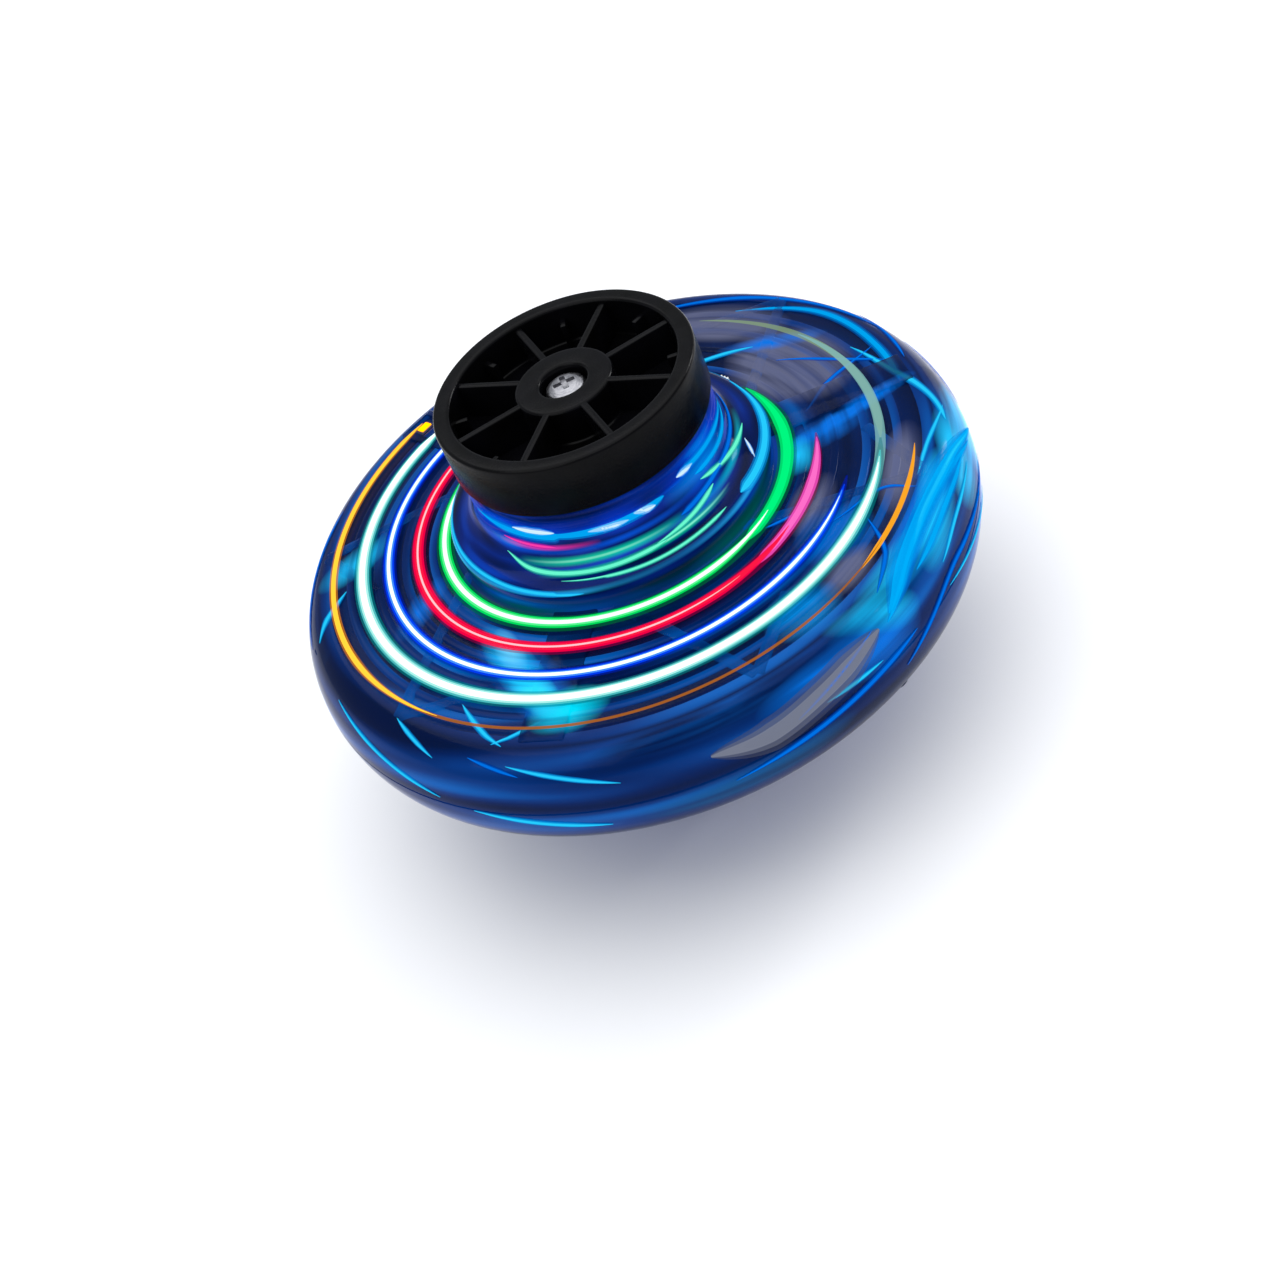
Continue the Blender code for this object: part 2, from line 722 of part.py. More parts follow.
def build_plate(name, profile, half, screw_name):
    """A plate that closes a hub, held from inside by three screws."""
    plate = turned(name, profile, half, PARTS)
    cuts = make_tools(f"{name}_cuts")
    mesh = rod_mesh(f"{name}_hole", SCREW_HOLE, PLATE_TOP - PLATE_BOTTOM + 2 * PAST)
    for i, angle in enumerate(BOSS_ANGLES):
        location = polar_point(HUB_BOSS_CIRCLE, angle, PLATE_BOTTOM - PAST)
        add_object(f"{name}_hole_{i}", mesh, half, cuts, location)
        build_screw(
            f"{screw_name}_{i + 1}",
            PLATE_SCREW_HEAD,
            PLATE_SCREW_SHANK,
            half,
            HUB_BOSS_CIRCLE,
            angle,
            PLATE_BOTTOM - GAP,
            False,
        )
    combine(plate, cuts, "DIFFERENCE")
    paint(plate, "black_plastic")


def build_plates():
    mount_profile = [
        (SLEEVE_OUTER, SLEEVE_TOP),
        (SLEEVE_OUTER, PLATE_TOP),
        (PLATE_RADIUS, PLATE_TOP),
        (PLATE_RADIUS, PLATE_BOTTOM),
        (SLEEVE_OUTER, PLATE_BOTTOM),
        (SLEEVE_OUTER, SLEEVE_BOTTOM),
        (SLEEVE_INNER, SLEEVE_BOTTOM),
        (SLEEVE_INNER, SLEEVE_TOP),
    ]
    build_plate("motor_mount", mount_profile, UPPER, "mount_screw")
    cover_profile = [
        (0, PLATE_TOP),
        (PLATE_RADIUS, PLATE_TOP),
        (PLATE_RADIUS, PLATE_BOTTOM),
        (0, PLATE_BOTTOM),
    ]
    build_plate("lower_hub_plate", cover_profile, LOWER, "plate_screw")


# ---------------------------------------------------------------- motor and propeller


def build_motor():
    """A coreless motor: fixed can and magnet, turning coil and shaft."""
    can = [
        (MOTOR_RADIUS, MOTOR_TOP),
        (MOTOR_RADIUS, MOTOR_BOTTOM),
        (MOTOR_NECK, MOTOR_BOTTOM),
        (MOTOR_NECK, MOTOR_FLOOR),
        (MOTOR_INNER, MOTOR_FLOOR),
        (MOTOR_INNER, MOTOR_TOP),
    ]
    paint(turned("motor_can", can, UPPER, PARTS, RACE_STEPS), "steel")
    magnet = (MOTOR_NECK, MAGNET_RADIUS, *MAGNET_SPAN)
    paint(washer("motor_magnet", *magnet, UPPER, PARTS, MOTOR_STEPS), "magnet")
    low, high = COIL_SPAN
    coil = [
        (COIL_OUTER, high),
        (COIL_OUTER, low),
        (COIL_INNER, low),
        (COIL_INNER, high - COIL_DISC),
        (HUB_BORE, high - COIL_DISC),
        (HUB_BORE, high),
    ]
    paint(turned("motor_coil", coil, UPPER, PARTS, MOTOR_STEPS), "copper")
    low, high = END_CAP_SPAN
    end_cap = [(0, high), (END_CAP_RADIUS, high), (END_CAP_RADIUS, low), (0, low)]
    paint(turned("motor_end_cap", end_cap, UPPER, PARTS, MOTOR_STEPS), "white_plastic")
    shaft = [
        (0, SHAFT_TOP),
        (SHAFT_RADIUS, SHAFT_TOP),
        (SHAFT_RADIUS, SHAFT_BOTTOM),
        (0, SHAFT_BOTTOM),
    ]
    paint(turned("motor_shaft", shaft, UPPER, PARTS, SMALL_STEPS), "steel")


def blade_mesh():
    """A twisted blade along X: wide a third of the way out, and flatter at its tip."""
    work = bmesh.new()
    bmesh.ops.create_grid(work, x_segments=BLADE_STATIONS, y_segments=2, size=0.5)
    for vertex in work.verts:
        share = vertex.co.x + 0.5
        chord = CHORD_ROOT + (CHORD_TIP - CHORD_ROOT) * share
        chord += CHORD_BULGE * sin(pi * share ** CHORD_PEAK)
        pitch = PITCH_ROOT + (PITCH_TIP - PITCH_ROOT) * share
        across = vertex.co.y * chord
        camber = BLADE_CAMBER * chord * (1 - (2 * vertex.co.y) ** 2)
        radius = BLADE_ROOT + (TIP_RADIUS - BLADE_ROOT) * share
        vertex.co = (
            radius,
            across * cos(pitch) - camber * sin(pitch),
            BLADE_HEIGHT + across * sin(pitch) + camber * cos(pitch),
        )
    return mesh_from("blade", work)


def build_propeller():
    hub = washer("propeller", HUB_BORE, HUB_RADIUS, *HUB_SPAN, UPPER, PARTS, MOTOR_STEPS)
    blades = make_tools("propeller_blades")
    mesh = blade_mesh()
    for i in range(BLADES):
        angle = BLADE_START + i * TURN / BLADES
        blade = add_object(f"blade_{i}", mesh, UPPER, blades, (0, 0, 0), (0, 0, angle))
        solid = blade.modifiers.new("thickness", "SOLIDIFY")
        solid.thickness = BLADE_THICKNESS * MM
        solid.offset = 0
    combine(hub, blades, "UNION")
    paint(hub, "black_plastic")
    low, high = NUT_SPAN
    nut = [
        (0, NUT_HOLE_FLOOR),
        (HUB_BORE, NUT_HOLE_FLOOR),
        (HUB_BORE, high),
        (NUT_RADIUS, high),
        (NUT_RADIUS, low + NUT_CHAMFER[1]),
        (NUT_RADIUS - NUT_CHAMFER[0], low),
        (0, low),
    ]
    paint(turned("propeller_nut", nut, UPPER, PARTS, SMALL_STEPS), "steel")


# ---------------------------------------------------------------- electrics


def build_board():
    board = washer("control_board", BOARD_HOLE, BOARD_RADIUS, *BOARD_SPAN, UPPER, PARTS)
    paint(board, "board_blue")
    for name, (angle, reach, width, height) in CHIPS.items():
        span = (ON_BOARD, ON_BOARD + height)
        paint(polar_box(name, angle, reach, width, span, UPPER, PARTS), "black_plastic")


def build_battery():
    """A small pouch cell beside the motor, with its two leads to the board."""
    height = ON_BOARD + BATTERY_SIZE[2] / 2
    mesh = box_mesh("battery", BATTERY_SIZE)
    battery = add_object("battery", mesh, UPPER, PARTS, (0, BATTERY_CENTRE_Y, height))
    bevel(battery, BATTERY_EDGE)
    paint(battery, "foil")
    start = BATTERY_SIZE[0] / 2 + LEAD_RADIUS
    for name, y, finish in (("red", -8.6, "red_lead"), ("black", -10.2, "black_lead")):
        points = [
            (start, y, height + 0.8),
            (start + 0.7, y + 0.1, height + 0.7),
            (start + 1.2, y + 0.4, height),
            (start + 1.4, y + 0.8, height - 1),
            (start + 1.4, y + 1.1, LEAD_END),
        ]
        lead(f"battery_lead_{name}", points, finish, UPPER)


def build_motor_leads():
    """Two leads from the motor's end, over its sleeve and down to the board."""
    top = END_CAP_SPAN[1] + GAP + LEAD_RADIUS
    for name, side, finish in (("red", 1, "red_lead"), ("black", -1, "black_lead")):
        points = [
            (side * 1.0, 0.8, top),
            (side * 3.4, 1.8, top),
            (side * 5.2, 2.7, top - 0.5),
            (side * 6.2, 3.3, top - 1.8),
            (side * 6.5, 3.6, LEAD_END),
        ]
        lead(f"motor_lead_{name}", points, finish, UPPER)


def build_usb():
    """The charging socket: a metal shell open to the outside, with its tongue."""
    span = (ON_BOARD, ON_BOARD + USB_HEIGHT)
    shell = polar_box("usb_socket", USB_ANGLE, USB_REACH, USB_WIDTH, span, UPPER, PARTS)
    cuts = make_tools("usb_cuts")
    mouth = (USB_REACH[0] + USB_WALL, USB_REACH[1] + PAST)
    inside = (span[0] + USB_WALL, span[1] - USB_WALL)
    width = USB_WIDTH - 2 * USB_WALL
    polar_box("usb_mouth", USB_ANGLE, mouth, width, inside, UPPER, cuts)
    combine(shell, cuts, "DIFFERENCE")
    paint(shell, "steel")
    middle = sum(span) / 2
    span = (middle - USB_TONGUE_HEIGHT / 2, middle + USB_TONGUE_HEIGHT / 2)
    tongue = polar_box(
        "usb_tongue", USB_ANGLE, USB_TONGUE, USB_TONGUE_WIDTH, span, UPPER, PARTS
    )
    paint(tongue, "black_plastic")


def build_switch():
    """The slide switch: a housing on the board, and the knob in the collar's slot."""
    housing = polar_box(
        "switch_housing", SWITCH_ANGLE, SWITCH_REACH, SWITCH_WIDTH, SWITCH_SPAN, UPPER, PARTS
    )
    cuts = make_tools("switch_cuts")
    middle = sum(SWITCH_SPAN) / 2
    stem_width = KNOB_WIDTH - STEM_PLAY
    slot_width = stem_width + SWITCH_TRAVEL + 2 * GAP
    slot_reach = (STEM_SLOT_FLOOR, SWITCH_REACH[1] + PAST)
    half_slot = STEM_HEIGHT / 2 + STEM_PLAY
    slot_span = (middle - half_slot, middle + half_slot)
    polar_box("stem_slot", SWITCH_ANGLE, slot_reach, slot_width, slot_span, UPPER, cuts)
    combine(housing, cuts, "DIFFERENCE")
    paint(housing, "steel")
    offset = -SWITCH_TRAVEL / 2
    span = (middle - KNOB_HEIGHT / 2, middle + KNOB_HEIGHT / 2)
    knob = polar_box(
        "switch_knob", SWITCH_ANGLE, KNOB_REACH, KNOB_WIDTH, span, UPPER, PARTS, offset
    )
    joins = make_tools("knob_joins")
    span = (middle - STEM_HEIGHT / 2, middle + STEM_HEIGHT / 2)
    polar_box("knob_stem", SWITCH_ANGLE, STEM_REACH, stem_width, span, UPPER, joins, offset)
    combine(knob, joins, "UNION")
    paint(knob, "white_plastic")


def build_lights():
    """The light board in its arm, with one light for each ring of colour."""
    board = deck_box(
        "led_board",
        LED_ANGLE,
        LED_BOARD_REACH,
        LED_BOARD_WIDTH,
        LED_BOARD_SPAN,
        UPPER,
        PARTS,
    )
    paint(board, "board_blue")
    for colour, radius in LEDS.items():
        reach = (radius - LED_LENGTH / 2, radius + LED_LENGTH / 2)
        name = f"led_{colour}"
        paint(deck_box(name, LED_ANGLE, reach, LED_WIDTH, LED_SPAN, UPPER, PARTS), name)


# ---------------------------------------------------------------- assembly

for old in list(bpy.data.objects):
    bpy.data.objects.remove(old, do_unlink=True)

PARTS = make_collection("flying_spinner")
TOOLS = make_collection("tools")
UPPER = make_empty("upper_half", HALF_HEIGHT)
LOWER = make_empty("lower_half", HALF_HEIGHT, (pi, 0, 0))

build_grip("upper", UPPER)
build_grip("lower", LOWER)
build_upper_frame()
build_lower_frame()
build_plates()
build_motor()
build_propeller()
build_board()
build_battery()
build_motor_leads()
build_usb()
build_switch()
build_lights()
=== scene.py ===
"""Looks of the hand-held flying spinner: a clear blue cage with its rings of coloured
light, held between two black grip caps.

Work meshes are in millimetres. Heights are measured from the plane where the two
halves of the cage meet, and each half is made in its own frame, pointing up; the
lower half's frame is turned over. place() turns a work mesh into a piece in metres.
"""

from math import atan, atan2, cos, hypot, pi, radians, sin

import bmesh
import bpy
from mathutils import Matrix, Vector


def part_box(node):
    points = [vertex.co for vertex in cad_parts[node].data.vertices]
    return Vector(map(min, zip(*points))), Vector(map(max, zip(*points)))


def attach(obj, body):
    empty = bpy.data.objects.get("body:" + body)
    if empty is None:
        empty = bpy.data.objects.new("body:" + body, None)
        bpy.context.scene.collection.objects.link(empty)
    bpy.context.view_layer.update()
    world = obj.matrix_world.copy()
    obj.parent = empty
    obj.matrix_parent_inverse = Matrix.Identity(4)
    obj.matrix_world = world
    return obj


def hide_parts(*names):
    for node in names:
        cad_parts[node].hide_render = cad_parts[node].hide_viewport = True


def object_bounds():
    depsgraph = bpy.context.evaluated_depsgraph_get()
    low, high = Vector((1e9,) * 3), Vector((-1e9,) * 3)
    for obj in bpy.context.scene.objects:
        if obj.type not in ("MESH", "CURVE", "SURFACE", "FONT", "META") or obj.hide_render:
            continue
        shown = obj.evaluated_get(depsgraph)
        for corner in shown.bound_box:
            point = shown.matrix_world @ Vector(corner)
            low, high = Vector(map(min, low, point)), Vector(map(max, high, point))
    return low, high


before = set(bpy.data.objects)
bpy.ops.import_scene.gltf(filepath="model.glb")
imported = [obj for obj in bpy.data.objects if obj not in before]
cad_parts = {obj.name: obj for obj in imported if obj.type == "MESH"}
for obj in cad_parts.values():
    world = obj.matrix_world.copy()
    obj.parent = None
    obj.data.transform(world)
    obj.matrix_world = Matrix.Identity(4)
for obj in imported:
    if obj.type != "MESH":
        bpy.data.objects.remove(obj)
CAD_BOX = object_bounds()

MM = 0.001
TURN = 2 * pi

# Sizes read from the frame, in millimetres
MIDDLE = CAD_BOX[1].z / 2 / MM
RIM_RADIUS = CAD_BOX[1].x / MM
CAP_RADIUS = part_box("upper_grip_cap")[1].x / MM
CAP_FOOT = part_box("upper_grip_cap")[0].z / MM - MIDDLE
BLADE_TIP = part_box("propeller")[1].x / MM

UPPER = Matrix.Translation((0, 0, MIDDLE * MM)) @ Matrix.Scale(MM, 4)
LOWER = Matrix.Translation((0, 0, MIDDLE * MM)) @ Matrix.Rotation(pi, 4, "X") @ Matrix.Scale(MM, 4)
HALVES = {"upper": UPPER, "lower": LOWER}

# Facets around turned pieces
FINE_STEPS = 144
SMALL_STEPS = 32
SCREW_STEPS = 48

# Creases sharper than these stay hard
SHARP_ANGLE = radians(38)
CAD_SHARP_ANGLE = radians(35)

# Corners flatter than this stay sharp; a rounding takes at most this share of a side
NEARLY_STRAIGHT = radians(150)
CORNER_SHARE = 0.45

# How far a cut passes the face it opens
PAST = 1

# Grip cap
CAP_LEDGE = 22.5
CAP_FOOT_RADIUS = CAP_RADIUS - 0.3
CAP_SKIRT_RADIUS = 15.6
CAP_UNDERSIDE = 22.4
CAP_RING_RADIUS = 15.0
CAP_HUB_RADIUS = 6.5
CAP_HUB_TOP = MIDDLE - 0.5
CAP_BORE = 1.8
POCKET_FLOOR = 24.0
SPOKES = 8
SPOKE_WIDTH = 1.0
SPOKE_START = radians(9)
SPOKE_OVERLAP = 1
SPOKE_SPAN = (POCKET_FLOOR - 0.8, CAP_HUB_TOP - 0.1)
STUB_REACH = (13.2, 15.4)
STUB_WIDTH = 0.8
STUB_SPAN = (POCKET_FLOOR - 0.5, SPOKE_SPAN[1] - 1.2)
CAP_SCREW_SEAT = 27.0
CAP_SCREW_RECESS = 3.1

# Collar
COLLAR_TOP = 21.2
COLLAR_HOLE = 3.2
COLLAR_WALL = 1.2
NECK_RADIUS = 16.5
NECK_FOOT = 18.2
NECK_BEAD = (NECK_RADIUS + 0.35, NECK_FOOT + 0.5, NECK_FOOT + 1.2)
SHOULDER_RADIUS = 21.5
SHOULDER_HEIGHT = 12.8
WALL_RADIUS = 20.2
SKIRT_BOTTOM = 5.6
SHOULDER_RUN = (1, 0.8)
FLARE = (
    SHOULDER_RADIUS - SHOULDER_RUN[0] - NECK_RADIUS,
    NECK_FOOT - SHOULDER_HEIGHT - SHOULDER_RUN[1],
)
FLARE_STEPS = 9
BEARING_SEAT = 5.3
BEARING_TOP = 20.1
BOSS_RADIUS = 6.6
BOSS_BOTTOM = 16.6

# Deck, a shallow cone from the collar to the rim
DECK_INNER = (SHOULDER_RADIUS, 9.4)
DECK_OUTER = (41, 8.2)
DECK_SLOPE = (DECK_INNER[1] - DECK_OUTER[1]) / (DECK_OUTER[0] - DECK_INNER[0])
DECK_TILT = atan(DECK_SLOPE)
FLANGE_RADIUS = 22.6
FLANGE_UNDERSIDE = 7.6
GUARD_RINGS = (25.4, 29.4, 33.5, 37.5)
GUARD_WIDTH = 1.2
GUARD_DEPTH = 1.4
ARMS = 3
ARM_WIDTH = 6.0
ARM_SPAN = (-3, 0.3)
ARM_REACH = (WALL_RADIUS + 0.7, DECK_OUTER[0] + 0.4)
RIB_WIDTH = 1.8
RIB_SPAN = (-1.5, 0.15)
RIB_STARTS = (radians(14), radians(66))
RIB_SWEEP = radians(24)
STRUT_ROOT = 33.5
STRUT_SWEEP = radians(16)

# Rim, a quarter ellipse down to the plane where the halves meet
RIM_ROUND = RIM_RADIUS - DECK_OUTER[0]
RIM_HALF = DECK_OUTER[1]
RIM_WALL = 1.2
RIM_LIP_RADIUS = 40.6
RIM_FACETS = (18, 14)
SPLIT = 0.15

# The see-through sweep of the turning bars
SWEEP_REACH = (FLANGE_RADIUS - 0.4, RIM_LIP_RADIUS + 0.2)
SWEEP_DEPTHS = (0.15, 0.35)

# Screws and bosses
SCREW_ANGLES = (radians(60), radians(180), radians(300))
RIM_CIRCLE = 42.2
RIM_BOSS = (1.9, (SPLIT, 6.6))
HUB_CIRCLE = 18.8
HUB_BOSS = (1.6, (7.2, 13))
SCREW_HOLE = 0.8
HUB_HOLE_ROOF = 0.6
CAP_SCREW = ((2.6, 1.3), (0.6, 5.2))
FRAME_SCREW = ((1.1, 1.3), (0.5, 9.8))
SCREW_STAND = 0.3
RECESS_RADIUS = 1.4
RECESS_SEAT = 5.0

# Light arm, charging socket and switch
LED_ANGLE = radians(120)
TROUGH_REACH = (21.9, 41.2)
TROUGH_WIDTH = 3.8
TROUGH_FLOOR = -1.7
TROUGH_TOP = 2
SLOT_REACH = (19, 22.5)
SLOT_CEILING = -0.6
LED_SPAN = (-0.75, -0.05)
LED_SIZE = (2, 2.6)
PACKAGE_TOP = -0.25
LENS_BOTTOM = -0.5
LENS_INSET = (0.3, 0.7)
USB_ANGLE = radians(90)
SWITCH_ANGLE = radians(30)
WINDOW_REACH = (WALL_RADIUS - 1.2, SHOULDER_RADIUS + 1.5)
USB_WINDOW = (8.3, (9.45, 12.35))
SWITCH_WINDOW = (4.4, (9.9, 11.9))
KNOB_OFFSET = -1.0
KNOB_REACH = (19.2, 22.4)
KNOB_WIDTH = 1.8
KNOB_SPAN = (10.2, 11.6)
STEM_REACH = (17.8, 19.4)
STEM_WIDTH = 1.6
STEM_SPAN = (10.6, 11.2)
RIDGES = 3
RIDGE_PITCH = 0.55
RIDGE_REACH = (22.1, 22.6)
RIDGE_WIDTH = 0.25

# Propeller
BLADES = 4
BLADE_ROOT = 1.5
BLADE_START = radians(20)
BLADE_HEIGHT = -1.3
BLADE_GRID = (28, 8)
BLADE_CAMBER = 0.06
BLADE_THICKNESS = 0.42
BLADE_THINNING = (1.1, 0.4)
TIP_ROUNDING = (9, 0.25)
# Chord at the root, its swell, and at the tip; a power under one swells it nearer the root
CHORD = (6, 4.5, 4.5)
SWELL_POWER = 0.7
PITCH = (radians(32), radians(12))
# Bore, radius, bottom and top
PROPELLER_HUB = (0.7, 2.3, -3.6, 1)


# -------- work meshes


def softened(points, radius, closed=True, segments=3):
    """A profile with its corners rounded by short curves."""
    count = len(points)
    out = []
    for i, point in enumerate(points):
        if not closed and i in (0, count - 1):
            out.append(point)
            continue
        here = Vector(point)
        before = Vector(points[i - 1]) - here
        after = Vector(points[(i + 1) % count]) - here
        reach = min(radius, before.length * CORNER_SHARE, after.length * CORNER_SHARE)
        start = here + before.normalized() * reach
        end = here + after.normalized() * reach
        if before.angle(after) > NEARLY_STRAIGHT:
            out.append(point)
            continue
        for step in range(segments + 1):
            t = step / segments
            mixed = start * (1 - t) ** 2 + here * 2 * t * (1 - t) + end * t ** 2
            out.append((mixed.x, mixed.y))
    return out


def turned(profile, steps=FINE_STEPS):
    """A profile of (radius, height) points turned about Z."""
    work = bmesh.new()
    points = [work.verts.new((radius, 0, height)) for radius, height in profile]
    edges = [work.edges.new(pair) for pair in zip(points, points[1:])]
    if profile[0][0] > 0:
        edges.append(work.edges.new((points[-1], points[0])))
    bmesh.ops.spin(
        work, geom=points + edges, cent=(0, 0, 0), axis=(0, 0, 1), angle=TURN, steps=steps
    )
    bmesh.ops.remove_doubles(work, verts=work.verts, dist=0.00001)
    bmesh.ops.recalc_face_normals(work, faces=work.faces)
    return work


def washer(inner, outer, bottom, top, edge=0.25, steps=FINE_STEPS):
    corners = [(outer, top), (outer, bottom), (inner, bottom), (inner, top)]
    return turned(softened(corners, edge), steps)


def block(size, edge=0.2):
    """A box with rounded edges, centred on the origin."""
    work = bmesh.new()
    bmesh.ops.create_cube(work, size=1)
    bmesh.ops.scale(work, vec=size, verts=work.verts)
    bmesh.ops.bevel(work, geom=work.edges, offset=edge, segments=2, profile=0.5, affect="EDGES")
    return work


def moved(work, centre, rotation=(0, 0, 0)):
    """A work mesh turned by X, then Y, then Z, and put at a place."""
    matrix = Matrix.Translation(centre)
    for angle, axis in zip(reversed(rotation), "ZYX"):
        matrix = matrix @ Matrix.Rotation(angle, 4, axis)
    work.transform(matrix)
    return work


def polar_block(angle, reach, width, span, edge=0.2, offset=0.0):
    """A level box that points outwards at an angle."""
    size = (reach[1] - reach[0], width, span[1] - span[0])
    centre = Matrix.Rotation(angle, 3, "Z") @ Vector((sum(reach) / 2, offset, sum(span) / 2))
    return moved(block(size, edge), centre, (0, 0, angle))


def deck_height(radius):
    return DECK_INNER[1] - (radius - DECK_INNER[0]) * DECK_SLOPE


def deck_block(angle, reach, width, span, edge=0.3):
    """A box that points outwards and lies along the deck."""
    radius = sum(reach) / 2
    size = ((reach[1] - reach[0]) / cos(DECK_TILT), width, span[1] - span[0])
    centre = (*polar(radius, angle), deck_height(radius) + sum(span) / 2)
    return moved(block(size, edge), centre, (0, DECK_TILT, angle))


def deck_bar(start, end):
    """A rib on the deck between two points given as (radius, angle)."""
    x1, y1 = polar(*start)
    x2, y2 = polar(*end)
    drop = deck_height(start[0]) - deck_height(end[0])
    run = hypot(x2 - x1, y2 - y1)
    height = (deck_height(start[0]) + deck_height(end[0]) + sum(RIB_SPAN)) / 2
    work = block((hypot(run, drop), RIB_WIDTH, RIB_SPAN[1] - RIB_SPAN[0]), 0.4)
    centre = ((x1 + x2) / 2, (y1 + y2) / 2, height)
    return moved(work, centre, (0, atan2(drop, run), atan2(y2 - y1, x2 - x1)))


def rod(radius, span, place=(0, 0), edge=0.0, steps=SMALL_STEPS):
    corners = [(0, span[1]), (radius, span[1]), (radius, span[0]), (0, span[0])]
    profile = softened(corners, edge, closed=False) if edge else corners
    return moved(turned(profile, steps), (*place, 0))


def polar(radius, angle):
    return radius * cos(angle), radius * sin(angle)


def on_surface(along):
    """Radius, height and fall at a distance outwards over the deck and down the rim.

    Less than the deck's inner radius runs up the collar.
    """
    if along < SHOULDER_RADIUS:
        return on_collar(SHOULDER_RADIUS - along)
    if along <= DECK_OUTER[0]:
        return along, deck_height(along), DECK_TILT
    angle = (along - DECK_OUTER[0]) / ((RIM_ROUND + RIM_HALF) / 2)
    fall = atan2(RIM_HALF * sin(angle), RIM_ROUND * cos(angle))
    return DECK_OUTER[0] + RIM_ROUND * sin(angle), RIM_HALF * cos(angle), fall


def on_collar(rise):
    """Radius, height and fall at a distance up the collar's wall, shoulder, flare and neck."""
    wall = SHOULDER_HEIGHT - DECK_INNER[1]
    out, up = SHOULDER_RUN
    if rise < wall:
        return SHOULDER_RADIUS, DECK_INNER[1] + rise, pi / 2
    share = (rise - wall) / hypot(out, up)
    if share < 1:
        return SHOULDER_RADIUS - out * share, SHOULDER_HEIGHT + up * share, atan2(up, out)
    angle = pi / 2 - (rise - wall - hypot(out, up)) / (sum(FLARE) / 2)
    if angle < 0:
        return NECK_BEAD[0], NECK_FOOT - angle * sum(FLARE) / 2, pi / 2
    out, up = FLARE
    fall = atan2(up * cos(angle), out * sin(angle))
    return NECK_RADIUS + out * (1 - cos(angle)), NECK_FOOT - up * sin(angle), fall


def as_object(work, name="work"):
    mesh = bpy.data.meshes.new(name)
    work.to_mesh(mesh)
    work.free()
    obj = bpy.data.objects.new(name, mesh)
    bpy.context.scene.collection.objects.link(obj)
    return obj


def combined(solids, cuts=()):
    """The union of solids that overlap, less the cuts, as one work mesh.
    """
    base = as_object(solids[0])
    groups = {"UNION": solids[1:], "DIFFERENCE": cuts}
    spare = [base]
    for operation, works in groups.items():
        if not works:
            continue
        group = bpy.data.collections.new(operation)
        for work in works:
            tool = as_object(work)
            group.objects.link(tool)
            spare.append(tool)
        modifier = base.modifiers.new(operation, "BOOLEAN")
        modifier.operation = operation
        modifier.operand_type = "COLLECTION"
        modifier.collection = group
        modifier.solver = "EXACT"
    shown = base.evaluated_get(bpy.context.evaluated_depsgraph_get())
    work = bmesh.new()
    work.from_mesh(shown.to_mesh())
    for obj in spare:
        bpy.data.objects.remove(obj)
    for group in list(bpy.data.collections):
        bpy.data.collections.remove(group)
    return work


def together(works):
    """Several work meshes as one, left as separate bodies."""
    merged = bmesh.new()
    for work in works:
        mesh = bpy.data.meshes.new("part")
        work.to_mesh(mesh)
        work.free()
        merged.from_mesh(mesh)
        bpy.data.meshes.remove(mesh)
    return merged


def skinned(work, rings):
    """Faces between rings of vertices, each ring joined to the next, with both ends closed."""
    for near, far in zip(rings, rings[1:]):
        for i in range(len(near)):
            following = (i + 1) % len(near)
            work.faces.new((near[i], near[following], far[following], far[i]))
    work.faces.new(rings[0])
    work.faces.new(rings[-1])
    bmesh.ops.recalc_face_normals(work, faces=work.faces)
    return work


def place(name, work, half, material, body, slot, replaces=()):
    """Make a piece of a work mesh, in metres and in its half's place."""
    work.transform(HALVES[half])
    obj = as_object(work, name)
    obj.data.shade_smooth()
    obj.data.set_sharp_from_angle(angle=SHARP_ANGLE)
    obj.data.materials.append(material)
    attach(obj, body)
    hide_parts(*replaces)
    return obj


# -------- materials


